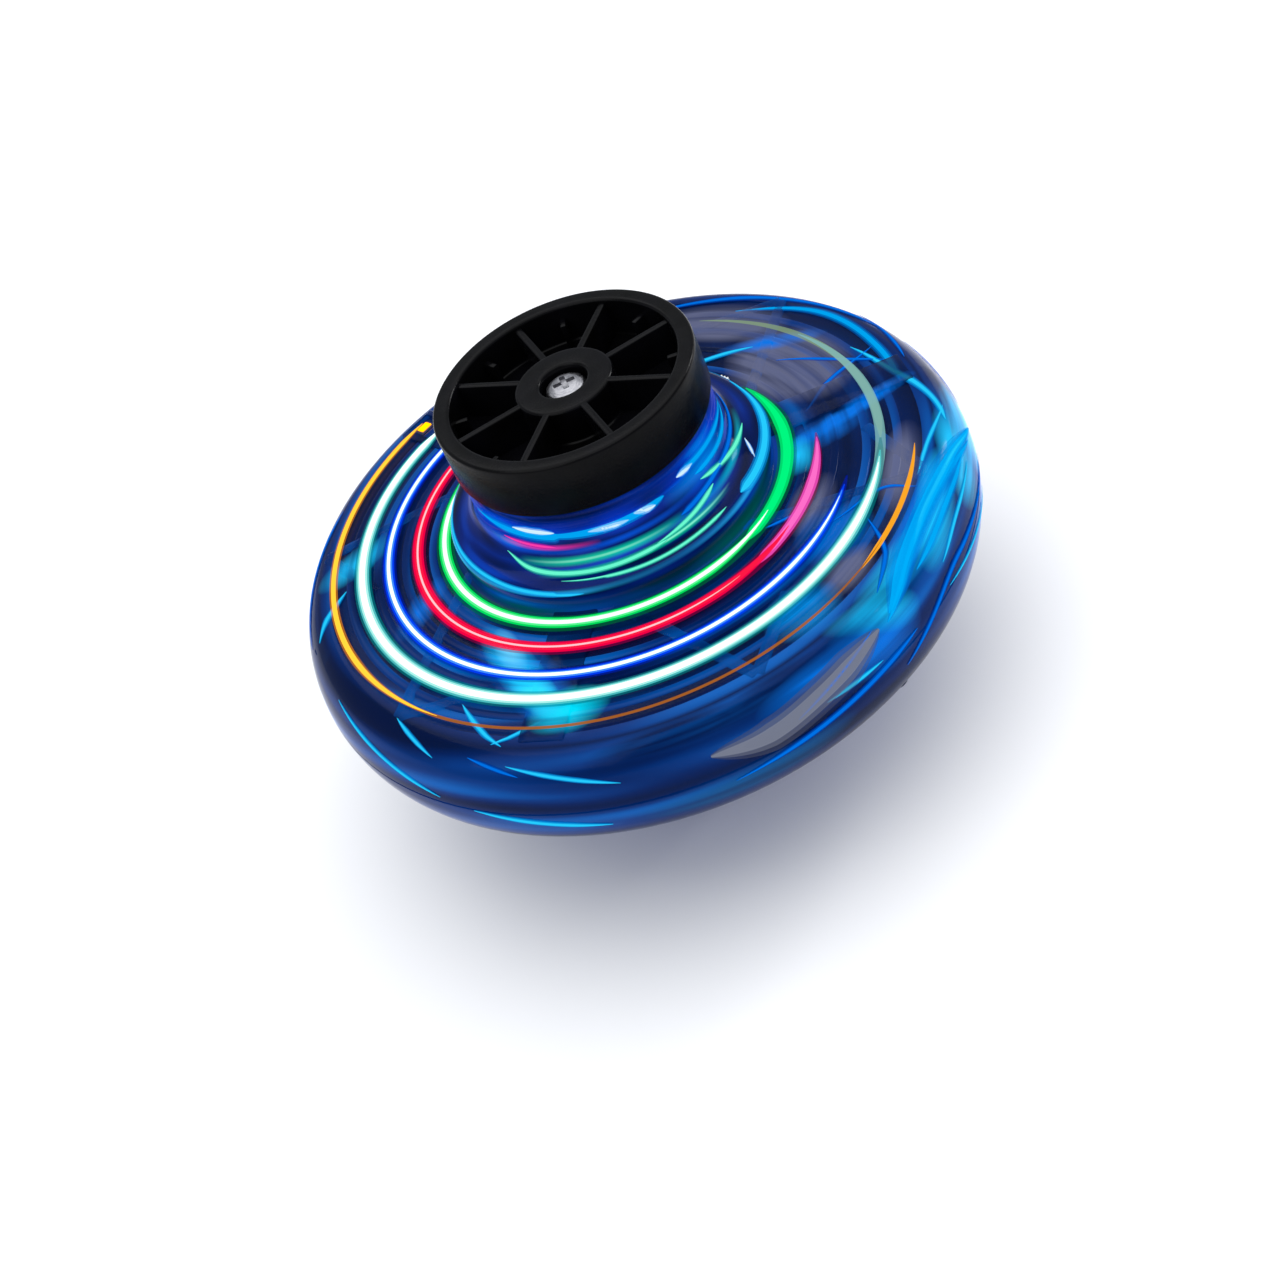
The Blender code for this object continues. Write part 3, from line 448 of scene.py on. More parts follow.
class Painter:
    """The node tree of one material, and the few nodes that its surface needs."""

    def __init__(self, name):
        self.material = bpy.data.materials.new(name)
        self.material.use_nodes = True
        self.tree = self.material.node_tree
        self.shader = self.tree.nodes["Principled BSDF"]
        self.place = self.node("TexCoord").outputs["Object"]

    def link(self, output, socket):
        self.tree.links.new(output, socket)

    def node(self, kind, *sources, **settings):
        """A node with its inputs, in order, linked to an output or set to a value."""
        made = self.tree.nodes.new("ShaderNode" + kind)
        for name, value in settings.items():
            setattr(made, name, value)
        for socket, source in zip(made.inputs, sources):
            if isinstance(source, bpy.types.NodeSocket):
                self.link(source, socket)
            elif source is not None:
                socket.default_value = source
        return made

    def set(self, **values):
        for name, value in values.items():
            self.shader.inputs[name.replace("_", " ").title()].default_value = value

    def specular(self, level):
        self.shader.inputs["Specular IOR Level"].default_value = level

    def noise(self, scale, detail=3.0, stretch=(1, 1, 1)):
        """Noise in the piece's own space; scale is features per metre."""
        stretched = self.node("VectorMath", self.place, stretch, operation="MULTIPLY")
        return self.node("TexNoise", stretched.outputs[0], None, scale, detail).outputs[0]

    def colours(self, source, stops):
        """A colour that follows a value through (value, colour) stops."""
        ramp = self.node("ValToRGB", source)
        elements = ramp.color_ramp.elements
        while len(elements) < len(stops):
            elements.new(0.5)
        for element, (position, colour) in zip(elements, stops):
            element.position = position
            element.color = (*colour, 1)
        return ramp.outputs["Color"]

    def base(self, source, stops):
        self.link(self.colours(source, stops), self.shader.inputs["Base Color"])

    def spread(self, source, start, end, low=0.0, high=1.0):
        """The part of a value between start and end, spread from low to high."""
        return self.node("MapRange", source, start, end, low, high).outputs[0]

    def roughness(self, source, low, high):
        self.link(self.spread(source, 0.3, 0.7, low, high), self.shader.inputs["Roughness"])

    def bump(self, source, strength, depth):
        node = self.node("Bump")
        node.inputs["Strength"].default_value = strength
        node.inputs["Distance"].default_value = depth
        self.link(source, node.inputs["Height"])
        self.link(node.outputs["Normal"], self.shader.inputs["Normal"])


# Sockets of a Mix node that carry colours
MIX_COLOURS = (6, 7)
MIX_RESULT = 2


class SweptPainter(Painter):
    """A painter for painted light and painted shade drawn out about the toy's axis.

    Both halves have the same arcs; the patches lie on the upper half, where the lights are.
    """

    def __init__(self, name):
        super().__init__(name)
        split = self.node("SeparateXYZ", self.place).outputs
        rise = self.node("Math", split["Z"], MIDDLE * MM, operation="SUBTRACT").outputs[0]
        self.height = self.node("Math", rise, operation="ABSOLUTE").outputs[0]
        self.centred = self.node("CombineXYZ", split["X"], split["Y"], rise).outputs[0]
        self.flat = self.node("CombineXYZ", split["X"], split["Y"]).outputs[0]
        length = self.node("VectorMath", self.flat, operation="LENGTH")
        self.radius = length.outputs["Value"]
        self.section = self.node("CombineXYZ", self.radius, None, self.height).outputs[0]

    def swept_noise(self, rings, turns, spiral=0.0, detail=1.0):
        """Noise in long arcs: rings to the metre across them, turns about the axis."""
        outward = self.node("VectorMath", self.flat, operation="NORMALIZE").outputs[0]
        twist = self.node("Math", self.radius, spiral, operation="MULTIPLY").outputs[0]
        twisted = self.node("VectorRotate", outward, None, None, twist, rotation_type="Z_AXIS")
        around = self.node("VectorMath", twisted.outputs[0], (turns, turns, 0), operation="MULTIPLY")
        along = self.node(
            "VectorMath", self.centred, (0, 0, rings), around.outputs[0], operation="MULTIPLY_ADD"
        )
        across = self.node("Math", self.radius, rings, operation="MULTIPLY").outputs[0]
        return self.node(
            "TexNoise", along.outputs[0], across, 1, detail, noise_dimensions="4D"
        ).outputs[0]

    def local(self, angle, radius, height, size, lean=0.0):
        """One at a place, fading to nothing at the edge of an ellipsoid.

        The size is its reach outwards, along its arc and upwards; it leans about Z.
        """
        angle = radians(angle)
        centre = Vector((*polar(radius, angle), height)) * MM
        near = self.node(
            "Mapping", self.centred, centre, (0, 0, angle + radians(lean)), Vector(size) * MM,
            vector_type="TEXTURE",
        )
        mask = self.node("TexGradient", near.outputs[0], gradient_type="SPHERICAL")
        return mask.outputs["Fac"]

    def patch(self, angle, along, size, lean=0.0, firm=1.0):
        """The same on the surface; less firm than one is a level middle, a sharper edge."""
        radius, height, _ = on_surface(along)
        return self.spread(self.local(angle, radius, height, size, lean), 0, firm)

    def ring(self, radius, height, width):
        """One on a circle about the axis, fading to nothing a width away from it."""
        circle = Vector((radius, 0, height)) * MM
        away = self.node("VectorMath", self.section, circle, operation="DISTANCE")
        return self.spread(away.outputs["Value"], 0, width * MM, 1, 0)

    def product(self, first, second):
        return self.node("Math", first, second, operation="MULTIPLY").outputs[0]

    def glow(self, light, patches, **values):
        """Paint light into the surface's glow by a colour, with (mask, colour) patches of painted
        light and painted shade over it.
        """
        for mask, colour in patches:
            mix = self.node("Mix", mask, data_type="RGBA")
            self.link(light, mix.inputs[MIX_COLOURS[0]])
            mix.inputs[MIX_COLOURS[1]].default_value = (*colour, 1)
            light = mix.outputs[MIX_RESULT]
        self.link(light, self.shader.inputs["Emission Color"])
        self.set(emission_strength=1, **values)


def swept_plastic(name, flow, stops, **values):
    """Polished tinted plastic with a painted glow in long arcs, standing in for the lights' shine in
    it, with patches of painted light and painted shade.
    """
    paint = SweptPainter(name)
    arcs = paint.swept_noise(*flow)
    # Streaks that break up the painted smears of light and shade
    streaks = paint.spread(paint.swept_noise(900, 1.6, 20, 2), 0.35, 0.6, 0.5, 1.1)
    # A painted shade line round the crease where the deck meets the rim
    radius, height, _ = on_surface(SHADED_CREASE)
    patches = [(paint.ring(radius, height, 0.5), DARK)]
    for angle, along, size, lean, firm, colour in SMEARS:
        mask = paint.patch(angle, along, size, lean, firm)
        patches.append((paint.product(mask, streaks), colour))
    paint.base(arcs, [(0.3, (0, 0.003, 0.02)), (0.7, (0, 0.008, 0.05))])
    paint.glow(paint.colours(arcs, stops), patches, **values)
    paint.roughness(paint.noise(350), 0.05, 0.12)
    paint.bump(paint.swept_noise(500, 1.2), 0.25, 0.0002)
    paint.specular(0.05)
    return paint.material


def collar_plastic(name):
    """The same plastic turned dark, with a painted glow in arcs and painted reflections of the
    rings' lights and the lamps in its curves.
    """
    paint = SweptPainter(name)
    arcs = paint.swept_noise(420, 1.1, 40)
    waves = paint.spread(paint.swept_noise(200, 1.6), 0.35, 0.65, 0.15, 1)
    shoulder = (SHOULDER_RADIUS - 0.15, SHOULDER_HEIGHT - 0.1)
    patches = []
    # Painted reflections and glints of the lights, each a ring about the axis faded by a mask:
    # radius, height, width, mask, colour
    for radius, height, width, mask, colour in (
        (17, 18.5, 2.2, waves, (0, 0.05, 0.85)),
        (17, 17.4, 1.6, paint.local(-48, 17, 17.4, (6, 8, 4)), (0, 0.3, 0.95)),
        (16.9, 16.3, 0.45, paint.local(-130, 17, 16.3, (5, 8, 3)), (1, 0.03, 0.4)),
        (17.2, 15.9, 0.5, waves, (0, 0.1, 0.8)),
        (17.95, 14.9, 0.7, paint.patch(-105, 18, (9, 22, 9), 0, 0.5), (0, 0.8, 0.4)),
        (17.95, 14.9, 0.25, paint.patch(-108, 18, (9, 15, 9), 0, 0.5), (0.5, 1, 0.8)),
        (19.1, 13.95, 0.6, paint.patch(-90, 19, (9, 24, 9), 0, 0.5), (0, 0.7, 0.3)),
        (19.1, 13.95, 0.2, paint.patch(-80, 19, (9, 15, 9), 0, 0.5), (0.3, 1, 0.7)),
        (18.4, 14.5, 0.6, paint.patch(-30, 18.4, (7, 15, 9), 0, 0.6), (0, 0.6, 0.8)),
        (SHOULDER_RADIUS, DECK_INNER[1] + 0.6, 2, waves, (0, 0.07, 0.05)),
        (*shoulder, 0.5, waves, (0.02, 0.5, 1)),
        (*shoulder, 0.7, paint.patch(165, 21, (6, 14, 9), 0, 0.6), (0.02, 0.6, 1)),
        (*shoulder, 0.7, paint.patch(-12, 21, (6, 12, 9), 0, 0.6), (0, 0.5, 1)),
    ):
        patches.append((paint.product(paint.ring(radius, height, width), mask), colour))
    paint.base(arcs, [(0.3, (0, 0.002, 0.015)), (0.7, (0, 0.008, 0.06))])
    paint.glow(paint.colours(arcs, COLLAR_ARCS), patches, alpha=0.96)
    paint.roughness(paint.noise(350), 0.03, 0.08)
    paint.bump(paint.swept_noise(500, 1.2), 0.3, 0.0002)
    paint.specular(0.05)
    return paint.material


def moulded(name, dark, light, rough, grain=2600, specular=0.5):
    """Moulded plastic with a fine texture."""
    paint = Painter(name)
    paint.base(paint.noise(220), [(0.3, dark), (0.7, light)])
    paint.roughness(paint.noise(500), *rough)
    paint.bump(paint.noise(grain, 2), 0.3, 0.00004)
    paint.specular(specular)
    return paint.material


def metal(name, dark, light, rough, stretch=(1, 1, 6)):
    """Turned or drawn metal with fine marks along it."""
    paint = Painter(name)
    marks = paint.noise(1500, 4, stretch)
    paint.base(marks, [(0.3, dark), (0.7, light)])
    paint.roughness(marks, *rough)
    paint.bump(marks, 0.15, 0.00002)
    paint.set(metallic=1)
    return paint.material


def circuit_board(name):
    """Dark blue solder mask with the raised shine of its tracks."""
    paint = Painter(name)
    tracks = paint.tree.nodes.new("ShaderNodeTexBrick")
    tracks.inputs["Scale"].default_value = 420
    tracks.inputs["Mortar Size"].default_value = 0.03
    tracks.inputs["Color1"].default_value = (0.004, 0.03, 0.16, 1)
    tracks.inputs["Color2"].default_value = (0.005, 0.04, 0.19, 1)
    tracks.inputs["Mortar"].default_value = (0.02, 0.1, 0.35, 1)
    paint.link(paint.place, tracks.inputs["Vector"])
    paint.link(tracks.outputs["Color"], paint.shader.inputs["Base Color"])
    paint.roughness(paint.noise(600), 0.28, 0.45)
    paint.bump(tracks.outputs["Fac"], 0.3, 0.00003)
    return paint.material


def light_glow(name, colour, strength, solid=1.0):
    """Plain light; a solid below one lets what is behind it show."""
    paint = Painter(name)
    paint.set(base_color=(0, 0, 0, 1), roughness=1, alpha=solid)
    paint.specular(0)
    paint.set(emission_color=(*colour, 1), emission_strength=strength)
    return paint.material


# Colour stops of each plastic's painted glow in long arcs, standing in for the lights' shine in it
RIM_ARCS = [
    (0.36, (0, 0.002, 0.015)), (0.47, (0, 0.009, 0.07)),
    (0.57, (0.001, 0.03, 0.17)), (0.7, (0.001, 0.11, 0.44)),
]
DECK_ARCS = [
    (0.42, (0.001, 0.002, 0.01)), (0.56, (0.001, 0.004, 0.03)),
    (0.66, (0.001, 0.016, 0.09)), (0.76, (0, 0.1, 0.4)),
]
COLLAR_ARCS = [
    (0.34, (0, 0.002, 0.015)), (0.5, (0.001, 0.01, 0.13)),
    (0.62, (0.001, 0.04, 0.4)), (0.72, (0, 0.2, 0.7)),
]
RIB_ARCS = [(0.35, (0, 0.02, 0.12)), (0.6, (0, 0.08, 0.35))]

# Painted smears of light and shade: angle, distance outwards over the surface, reach outwards,
# along and upwards, lean, firmness, colour
# The bright and azure colours are painted highlights and reflections, the grey one a painted glow,
# the dark one painted shade
BRIGHT = (0.01, 0.56, 1)
AZURE = (0, 0.17, 0.75)
GREY_GLOW = (0.115, 0.125, 0.2)
DARK = (0, 0.002, 0.02)
SMEARS = (
    (-98, 44.8, (2, 15, 2.2), 0, 0.5, DARK),
    (-80, 45, (2, 10, 2.2), 0, 0.5, DARK),
    (-150, 44, (2.5, 12, 3), 0, 0.8, DARK),
    (-100, 26, (3.5, 16, 3), 0, 0.6, DARK),
    (175, 34, (9, 16, 3), 0, 0.8, DARK),
    (20, 30.5, (8, 11, 3), 0, 0.35, GREY_GLOW),
    (48, 35.5, (4.6, 11, 3), 0, 0.4, GREY_GLOW),
    (-28, 38, (3, 9, 3), 0, 0.6, GREY_GLOW),
    (-56, 38, (2.8, 5, 3), 0, 0.6, GREY_GLOW),
    (-40, 28, (3, 6, 3), 0, 0.7, GREY_GLOW),
    (10, 48.5, (3.5, 18, 6), 0, 0.4, GREY_GLOW),
    (42, 47.5, (3, 12, 5), 0, 0.6, GREY_GLOW),
    (-15, 48.5, (4.5, 12, 6), 16, 1, AZURE),
    (-42, 44, (4.2, 15, 5), 6, 1, AZURE),
    (-62, 48, (3.6, 9, 5), -20, 1, AZURE),
    (-13, 49, (3.4, 9, 5), 12, 0.6, BRIGHT),
    (-24, 46.6, (2.7, 10, 5), 16, 0.6, BRIGHT),
    (-38, 44.4, (2.4, 11, 5), 12, 0.6, BRIGHT),
    (-50, 43.6, (2.2, 12, 4), -4, 0.9, BRIGHT),
    (-59, 46, (1.8, 10, 4), -22, 0.9, BRIGHT),
    (-75, 46.3, (1.7, 11, 2), 3, 1, AZURE),
    (-8, 31.5, (12, 1.5, 3), 22, 0.6, AZURE),
    (-12, 28.5, (6, 3, 3), 22, 1, AZURE),
    (31, 33, (8, 1.9, 3), -52, 0.8, AZURE),
    (-20, 24.6, (3, 4, 3), 0, 1, BRIGHT),
    (-127, 32, (13, 4, 3), 51, 0.9, AZURE),
    (-130, 31, (11, 2.8, 3), 51, 0.6, BRIGHT),
    (-116, 37, (3.6, 5.5, 3), 20, 0.9, (0, 0.75, 0.95)),
    (-124, 34, (6, 2.4, 3), 51, 0.8, (0.02, 0.75, 1)),
    (-136, 28, (5, 1.8, 3), 51, 0.8, (0.16, 0.66, 1)),
    (-68, 37.5, (4.5, 5.5, 3), 0, 0.7, (0, 0.25, 0.7)),
    (-48, 33, (5, 6, 3), 0, 0.6, (0, 0.12, 0.5)),
    (162, 37, (6.5, 3, 3), 35, 0.9, BRIGHT),
    (-172, 29, (6, 2.5, 3), 35, 0.9, AZURE),
    (-90, 53.5, (3, 30, 2.6), 0, 1, (0, 0.09, 0.26)),
)
# Where the painted shade line round the crease between deck and rim lies, as distance outwards over
# the surface
SHADED_CREASE = 42.7

MATERIALS = {
    "shell": swept_plastic("clear_blue", (260, 0.9, 12), RIM_ARCS, alpha=0.95),
    "collar": collar_plastic("collar_blue"),
    "rib": swept_plastic("rib_blue", (400, 1.2), RIB_ARCS, alpha=0.6),
    "smoke": swept_plastic("sweep_blue", (300, 1.1, 40), DECK_ARCS, alpha=0.82),
    "black_grip": moulded(
        "black_grip", (0.001,) * 3, (0.002, 0.002, 0.003), (0.18, 0.28), specular=0.07
    ),
    "black_plastic": moulded("black_plastic", (0.01, 0.01, 0.012), (0.02, 0.02, 0.024), (0.38, 0.5)),
    "steel": metal("steel", (0.2, 0.2, 0.22), (0.38, 0.38, 0.4), (0.25, 0.4)),
    "magnet": metal("magnet", (0.2, 0.2, 0.22), (0.32, 0.32, 0.34), (0.35, 0.5)),
    "copper": metal("copper", (0.45, 0.16, 0.06), (0.8, 0.36, 0.16), (0.25, 0.4), (1, 1, 30)),
    "white_plastic": moulded("white_plastic", (0.7,) * 3, (0.82,) * 3, (0.35, 0.48)),
    "board": circuit_board("board"),
    "foil": metal("foil", (0.5, 0.52, 0.55), (0.74, 0.76, 0.8), (0.24, 0.45), (1, 1, 1)),
    "red_lead": moulded("red_lead", (0.42, 0.01, 0.01), (0.6, 0.03, 0.02), (0.35, 0.5)),
    "black_lead": moulded("black_lead", (0.01,) * 3, (0.025,) * 3, (0.35, 0.5)),
}
LEDS = {
    "green": (0, 1, 0.16),
    "red": (1, 0, 0.06),
    "blue": (0, 0.02, 1),
    "white": (0.7, 1, 0.9),
    "orange": (1, 0.32, 0),
}
for led, colour in LEDS.items():
    MATERIALS["led_" + led] = light_glow("led_" + led, colour, 3)


# -------- cage


def collar_outline():
    """The hub's section: bearing seat, neck, flared shoulder, flange and skirt."""
    flare = []
    for step in range(FLARE_STEPS + 1):
        angle = pi / 2 * step / FLARE_STEPS
        flare.append((NECK_RADIUS + FLARE[0] * (1 - cos(angle)), NECK_FOOT - FLARE[1] * sin(angle)))
    inner = [(max(radius - COLLAR_WALL, 0), height - 1) for radius, height in flare[::-3]]
    outer = softened(
        [
            (COLLAR_HOLE, COLLAR_TOP), (NECK_RADIUS, COLLAR_TOP),
            (NECK_RADIUS, NECK_FOOT + 1.6), (NECK_BEAD[0], NECK_BEAD[2]),
            (NECK_BEAD[0], NECK_BEAD[1]), (NECK_RADIUS, NECK_FOOT),
        ],
        0.25, closed=False,
    )
    shoulder = softened(
        [
            flare[-1], (SHOULDER_RADIUS, SHOULDER_HEIGHT),
            DECK_INNER, (FLANGE_RADIUS, deck_height(FLANGE_RADIUS)),
            (FLANGE_RADIUS, FLANGE_UNDERSIDE), (SHOULDER_RADIUS, SKIRT_BOTTOM),
            (WALL_RADIUS, SKIRT_BOTTOM), (WALL_RADIUS, SHOULDER_HEIGHT - 1),
        ],
        0.3, closed=False,
    )
    seat = [
        (NECK_RADIUS - COLLAR_WALL, COLLAR_TOP - COLLAR_WALL),
        (BOSS_RADIUS, COLLAR_TOP - COLLAR_WALL), (BOSS_RADIUS, BOSS_BOTTOM),
        (BEARING_SEAT, BOSS_BOTTOM), (BEARING_SEAT, BEARING_TOP),
        (COLLAR_HOLE, BEARING_TOP),
    ]
    return outer + flare[1:-1] + shoulder + inner[1:] + seat


def rim_curve(inset, facets):
    """Points down the rim's section, from the deck to the plane between the halves."""
    points = []
    for i in range(facets + 1):
        angle = pi / 2 * (1 - i / facets)
        radius = DECK_OUTER[0] + (RIM_ROUND - inset) * cos(angle)
        points.append((radius, max((RIM_HALF - inset) * sin(angle), SPLIT)))
    return points


def rim():
    outside = [(RIM_LIP_RADIUS, RIM_HALF)] + rim_curve(0, RIM_FACETS[0])
    inside = rim_curve(RIM_WALL, RIM_FACETS[1])[::-1]
    return turned(outside + inside + [(RIM_LIP_RADIUS, RIM_HALF - RIM_WALL)])


def ribs():
    """The V-shaped ribs between the arms, each a long rib and a short strut."""
    bars = []
    for i in range(ARMS):
        for rib in RIB_STARTS:
            start = i * TURN / ARMS + rib
            tip = (DECK_OUTER[0] + 0.6, start + RIB_SWEEP)
            bars.append(deck_bar((WALL_RADIUS + 0.8, start), tip))
            bars.append(deck_bar((STRUT_ROOT, start + RIB_SWEEP + STRUT_SWEEP), tip))
    return combined(bars)


def shell_solids():
    solids = [rim()]
    for radius in GUARD_RINGS:
        top = deck_height(radius)
        inner, outer = radius - GUARD_WIDTH / 2, radius + GUARD_WIDTH / 2
        solids.append(washer(inner, outer, top - GUARD_DEPTH, top, 0.3))
    for angle in SCREW_ANGLES:
        solids.append(rod(*RIM_BOSS, polar(RIM_CIRCLE, angle)))
    return solids


def arms(half):
    """The three arms, one with a trough in the half that carries the lights."""
    bars = [deck_block(i * TURN / ARMS, ARM_REACH, ARM_WIDTH, ARM_SPAN) for i in range(ARMS)]
    cuts = []
    if half == "upper":
        span = (TROUGH_FLOOR, TROUGH_TOP)
        cuts.append(deck_block(LED_ANGLE, TROUGH_REACH, TROUGH_WIDTH, span, edge=0.2))
    return combined(bars, cuts)


def shell_cuts(half):
    """The screw holes in the rim."""
    cuts = []
    for angle in SCREW_ANGLES:
        circle = polar(RIM_CIRCLE, angle)
        if half == "lower":
            cuts.append(rod(RECESS_RADIUS, (RECESS_SEAT, RIM_HALF + PAST), circle))
            cuts.append(rod(SCREW_HOLE, (-PAST, RECESS_SEAT + PAST), circle))
        else:
            cuts.append(rod(SCREW_HOLE, (-PAST, RECESS_SEAT), circle))
    return cuts


def collar_solids():
    bosses = [rod(*HUB_BOSS, polar(HUB_CIRCLE, angle)) for angle in SCREW_ANGLES]
    return [turned(collar_outline()), *bosses]


def collar_cuts(half):
    """Screw holes, and the windows of the half that carries the electrics."""
    cuts = []
    low, high = HUB_BOSS[1]
    hole = (low - PAST, high - HUB_HOLE_ROOF)
    for angle in SCREW_ANGLES:
        cuts.append(rod(SCREW_HOLE, hole, polar(HUB_CIRCLE, angle)))
    if half == "upper":
        cuts.append(polar_block(USB_ANGLE, WINDOW_REACH, *USB_WINDOW, edge=0.4))
        cuts.append(polar_block(SWITCH_ANGLE, WINDOW_REACH, *SWITCH_WINDOW, edge=0.3))
        slot = (TROUGH_FLOOR, SLOT_CEILING)
        cuts.append(deck_block(LED_ANGLE, SLOT_REACH, TROUGH_WIDTH, slot, edge=0.1))
    return cuts


def sweep():
    inner, outer = SWEEP_REACH
    top, bottom = SWEEP_DEPTHS
    corners = ((inner, top), (outer, top), (outer, bottom), (inner, bottom))
    return turned([(radius, deck_height(radius) - depth) for radius, depth in corners])


def build_cage():
    for half in HALVES:
        node = half + "_frame"
        work = combined(shell_solids(), shell_cuts(half))
        place(half + "_shell", work, half, MATERIALS["shell"], "cage", "clear_blue", [node])
        work = combined(collar_solids(), collar_cuts(half))
        place(half + "_collar", work, half, MATERIALS["collar"], "cage", "clear_blue")
        place(half + "_arms", arms(half), half, MATERIALS["smoke"], "cage", "clear_blue")
        place(half + "_ribs", ribs(), half, MATERIALS["rib"], "cage", "clear_blue")
        place(half + "_sweep", sweep(), half, MATERIALS["smoke"], "cage", "clear_blue")


# -------- rings of light

# Each stretch: light, start and end in degrees, half its width, colour, strength, solidity
TRAIL_END = -240
TRAILS = (
    ("green", 23, TRAIL_END, 1.25, (0, 0.3, 0.08), 0.5, 0.3),
    ("green", 21, -60, 0.85, (0, 0.8, 0.16), 1, 0.6),
    ("green", 16, -60, 0.5, (0, 0.95, 0.22), 1, 0.8),
    ("green", -50, TRAIL_END, 0.85, (0, 0.85, 0.12), 1, 0.6),
    ("green", -48, TRAIL_END, 0.58, (0.1, 0.95, 0.3), 1, 0.85),
    ("green", -46, TRAIL_END, 0.3, (0.75, 1, 0.85), 1.4, 1),
    ("red", -13, TRAIL_END, 1.05, (0.4, 0, 0.1), 0.6, 0.3),
    ("red", -15, -66, 0.75, (1, 0.08, 0.55), 0.9, 0.6),
    ("red", -17, -64, 0.42, (1, 0.16, 0.6), 1, 0.85),
    ("red", -52, TRAIL_END, 0.8, (1, 0, 0.06), 1, 0.65),
    ("red", -50, TRAIL_END, 0.5, (1, 0.01, 0.06), 1, 0.9),
    ("red", -70, TRAIL_END, 0.14, (1, 0.5, 0.55), 1.2, 1),
    ("blue", -31, TRAIL_END, 1.05, (0, 0.02, 0.7), 0.6, 0.3),
    ("blue", -34, TRAIL_END, 0.78, (0, 0.05, 1), 1, 0.6),
    ("blue", -36, TRAIL_END, 0.5, (0.06, 0.3, 1), 1, 0.8),
    ("blue", -38, TRAIL_END, 0.25, (0.8, 0.92, 1), 1.4, 1),
    ("white", 53, -20, 0.5, (0.3, 0.45, 0.25), 0.8, 0.45),
    ("white", 26, -60, 0.65, (0.3, 0.68, 0.68), 0.8, 0.4),
    ("white", -20, TRAIL_END, 1.25, (0, 0.35, 0.4), 0.6, 0.3),
    ("white", -24, TRAIL_END, 0.95, (0.1, 0.7, 0.7), 0.9, 0.5),
    ("white", -26, TRAIL_END, 0.7, (0.45, 0.95, 0.88), 1, 0.75),
    ("white", -28, TRAIL_END, 0.42, (0.88, 1, 0.96), 1.4, 1),
    ("orange", -23, -56, 0.36, (1, 0.4, 0.02), 1, 0.9),
    ("orange", -48, -156, 0.22, (0.5, 0.15, 0.02), 0.8, 0.7),
    ("orange", -144, TRAIL_END, 0.6, (0.8, 0.25, 0), 0.8, 0.4),
    ("orange", -142, TRAIL_END, 0.34, (1, 0.55, 0.04), 1.3, 1),
)
TAPERS = (radians(24), radians(6))
TAPER_LIMIT = 0.35
TAPER_POWER = 0.6
THINNEST = 0.02
TRAIL_STEP = radians(1.5)
STEPS_PER_POINT = 10
HEADING_STEP = 0.01
TRAIL_SIDES = 12
TRAIL_LIFT = 0.3
LAYER_LIFT = 0.06
STREAK_LIFT = 0.04
HALO_DEPTH = 0.03

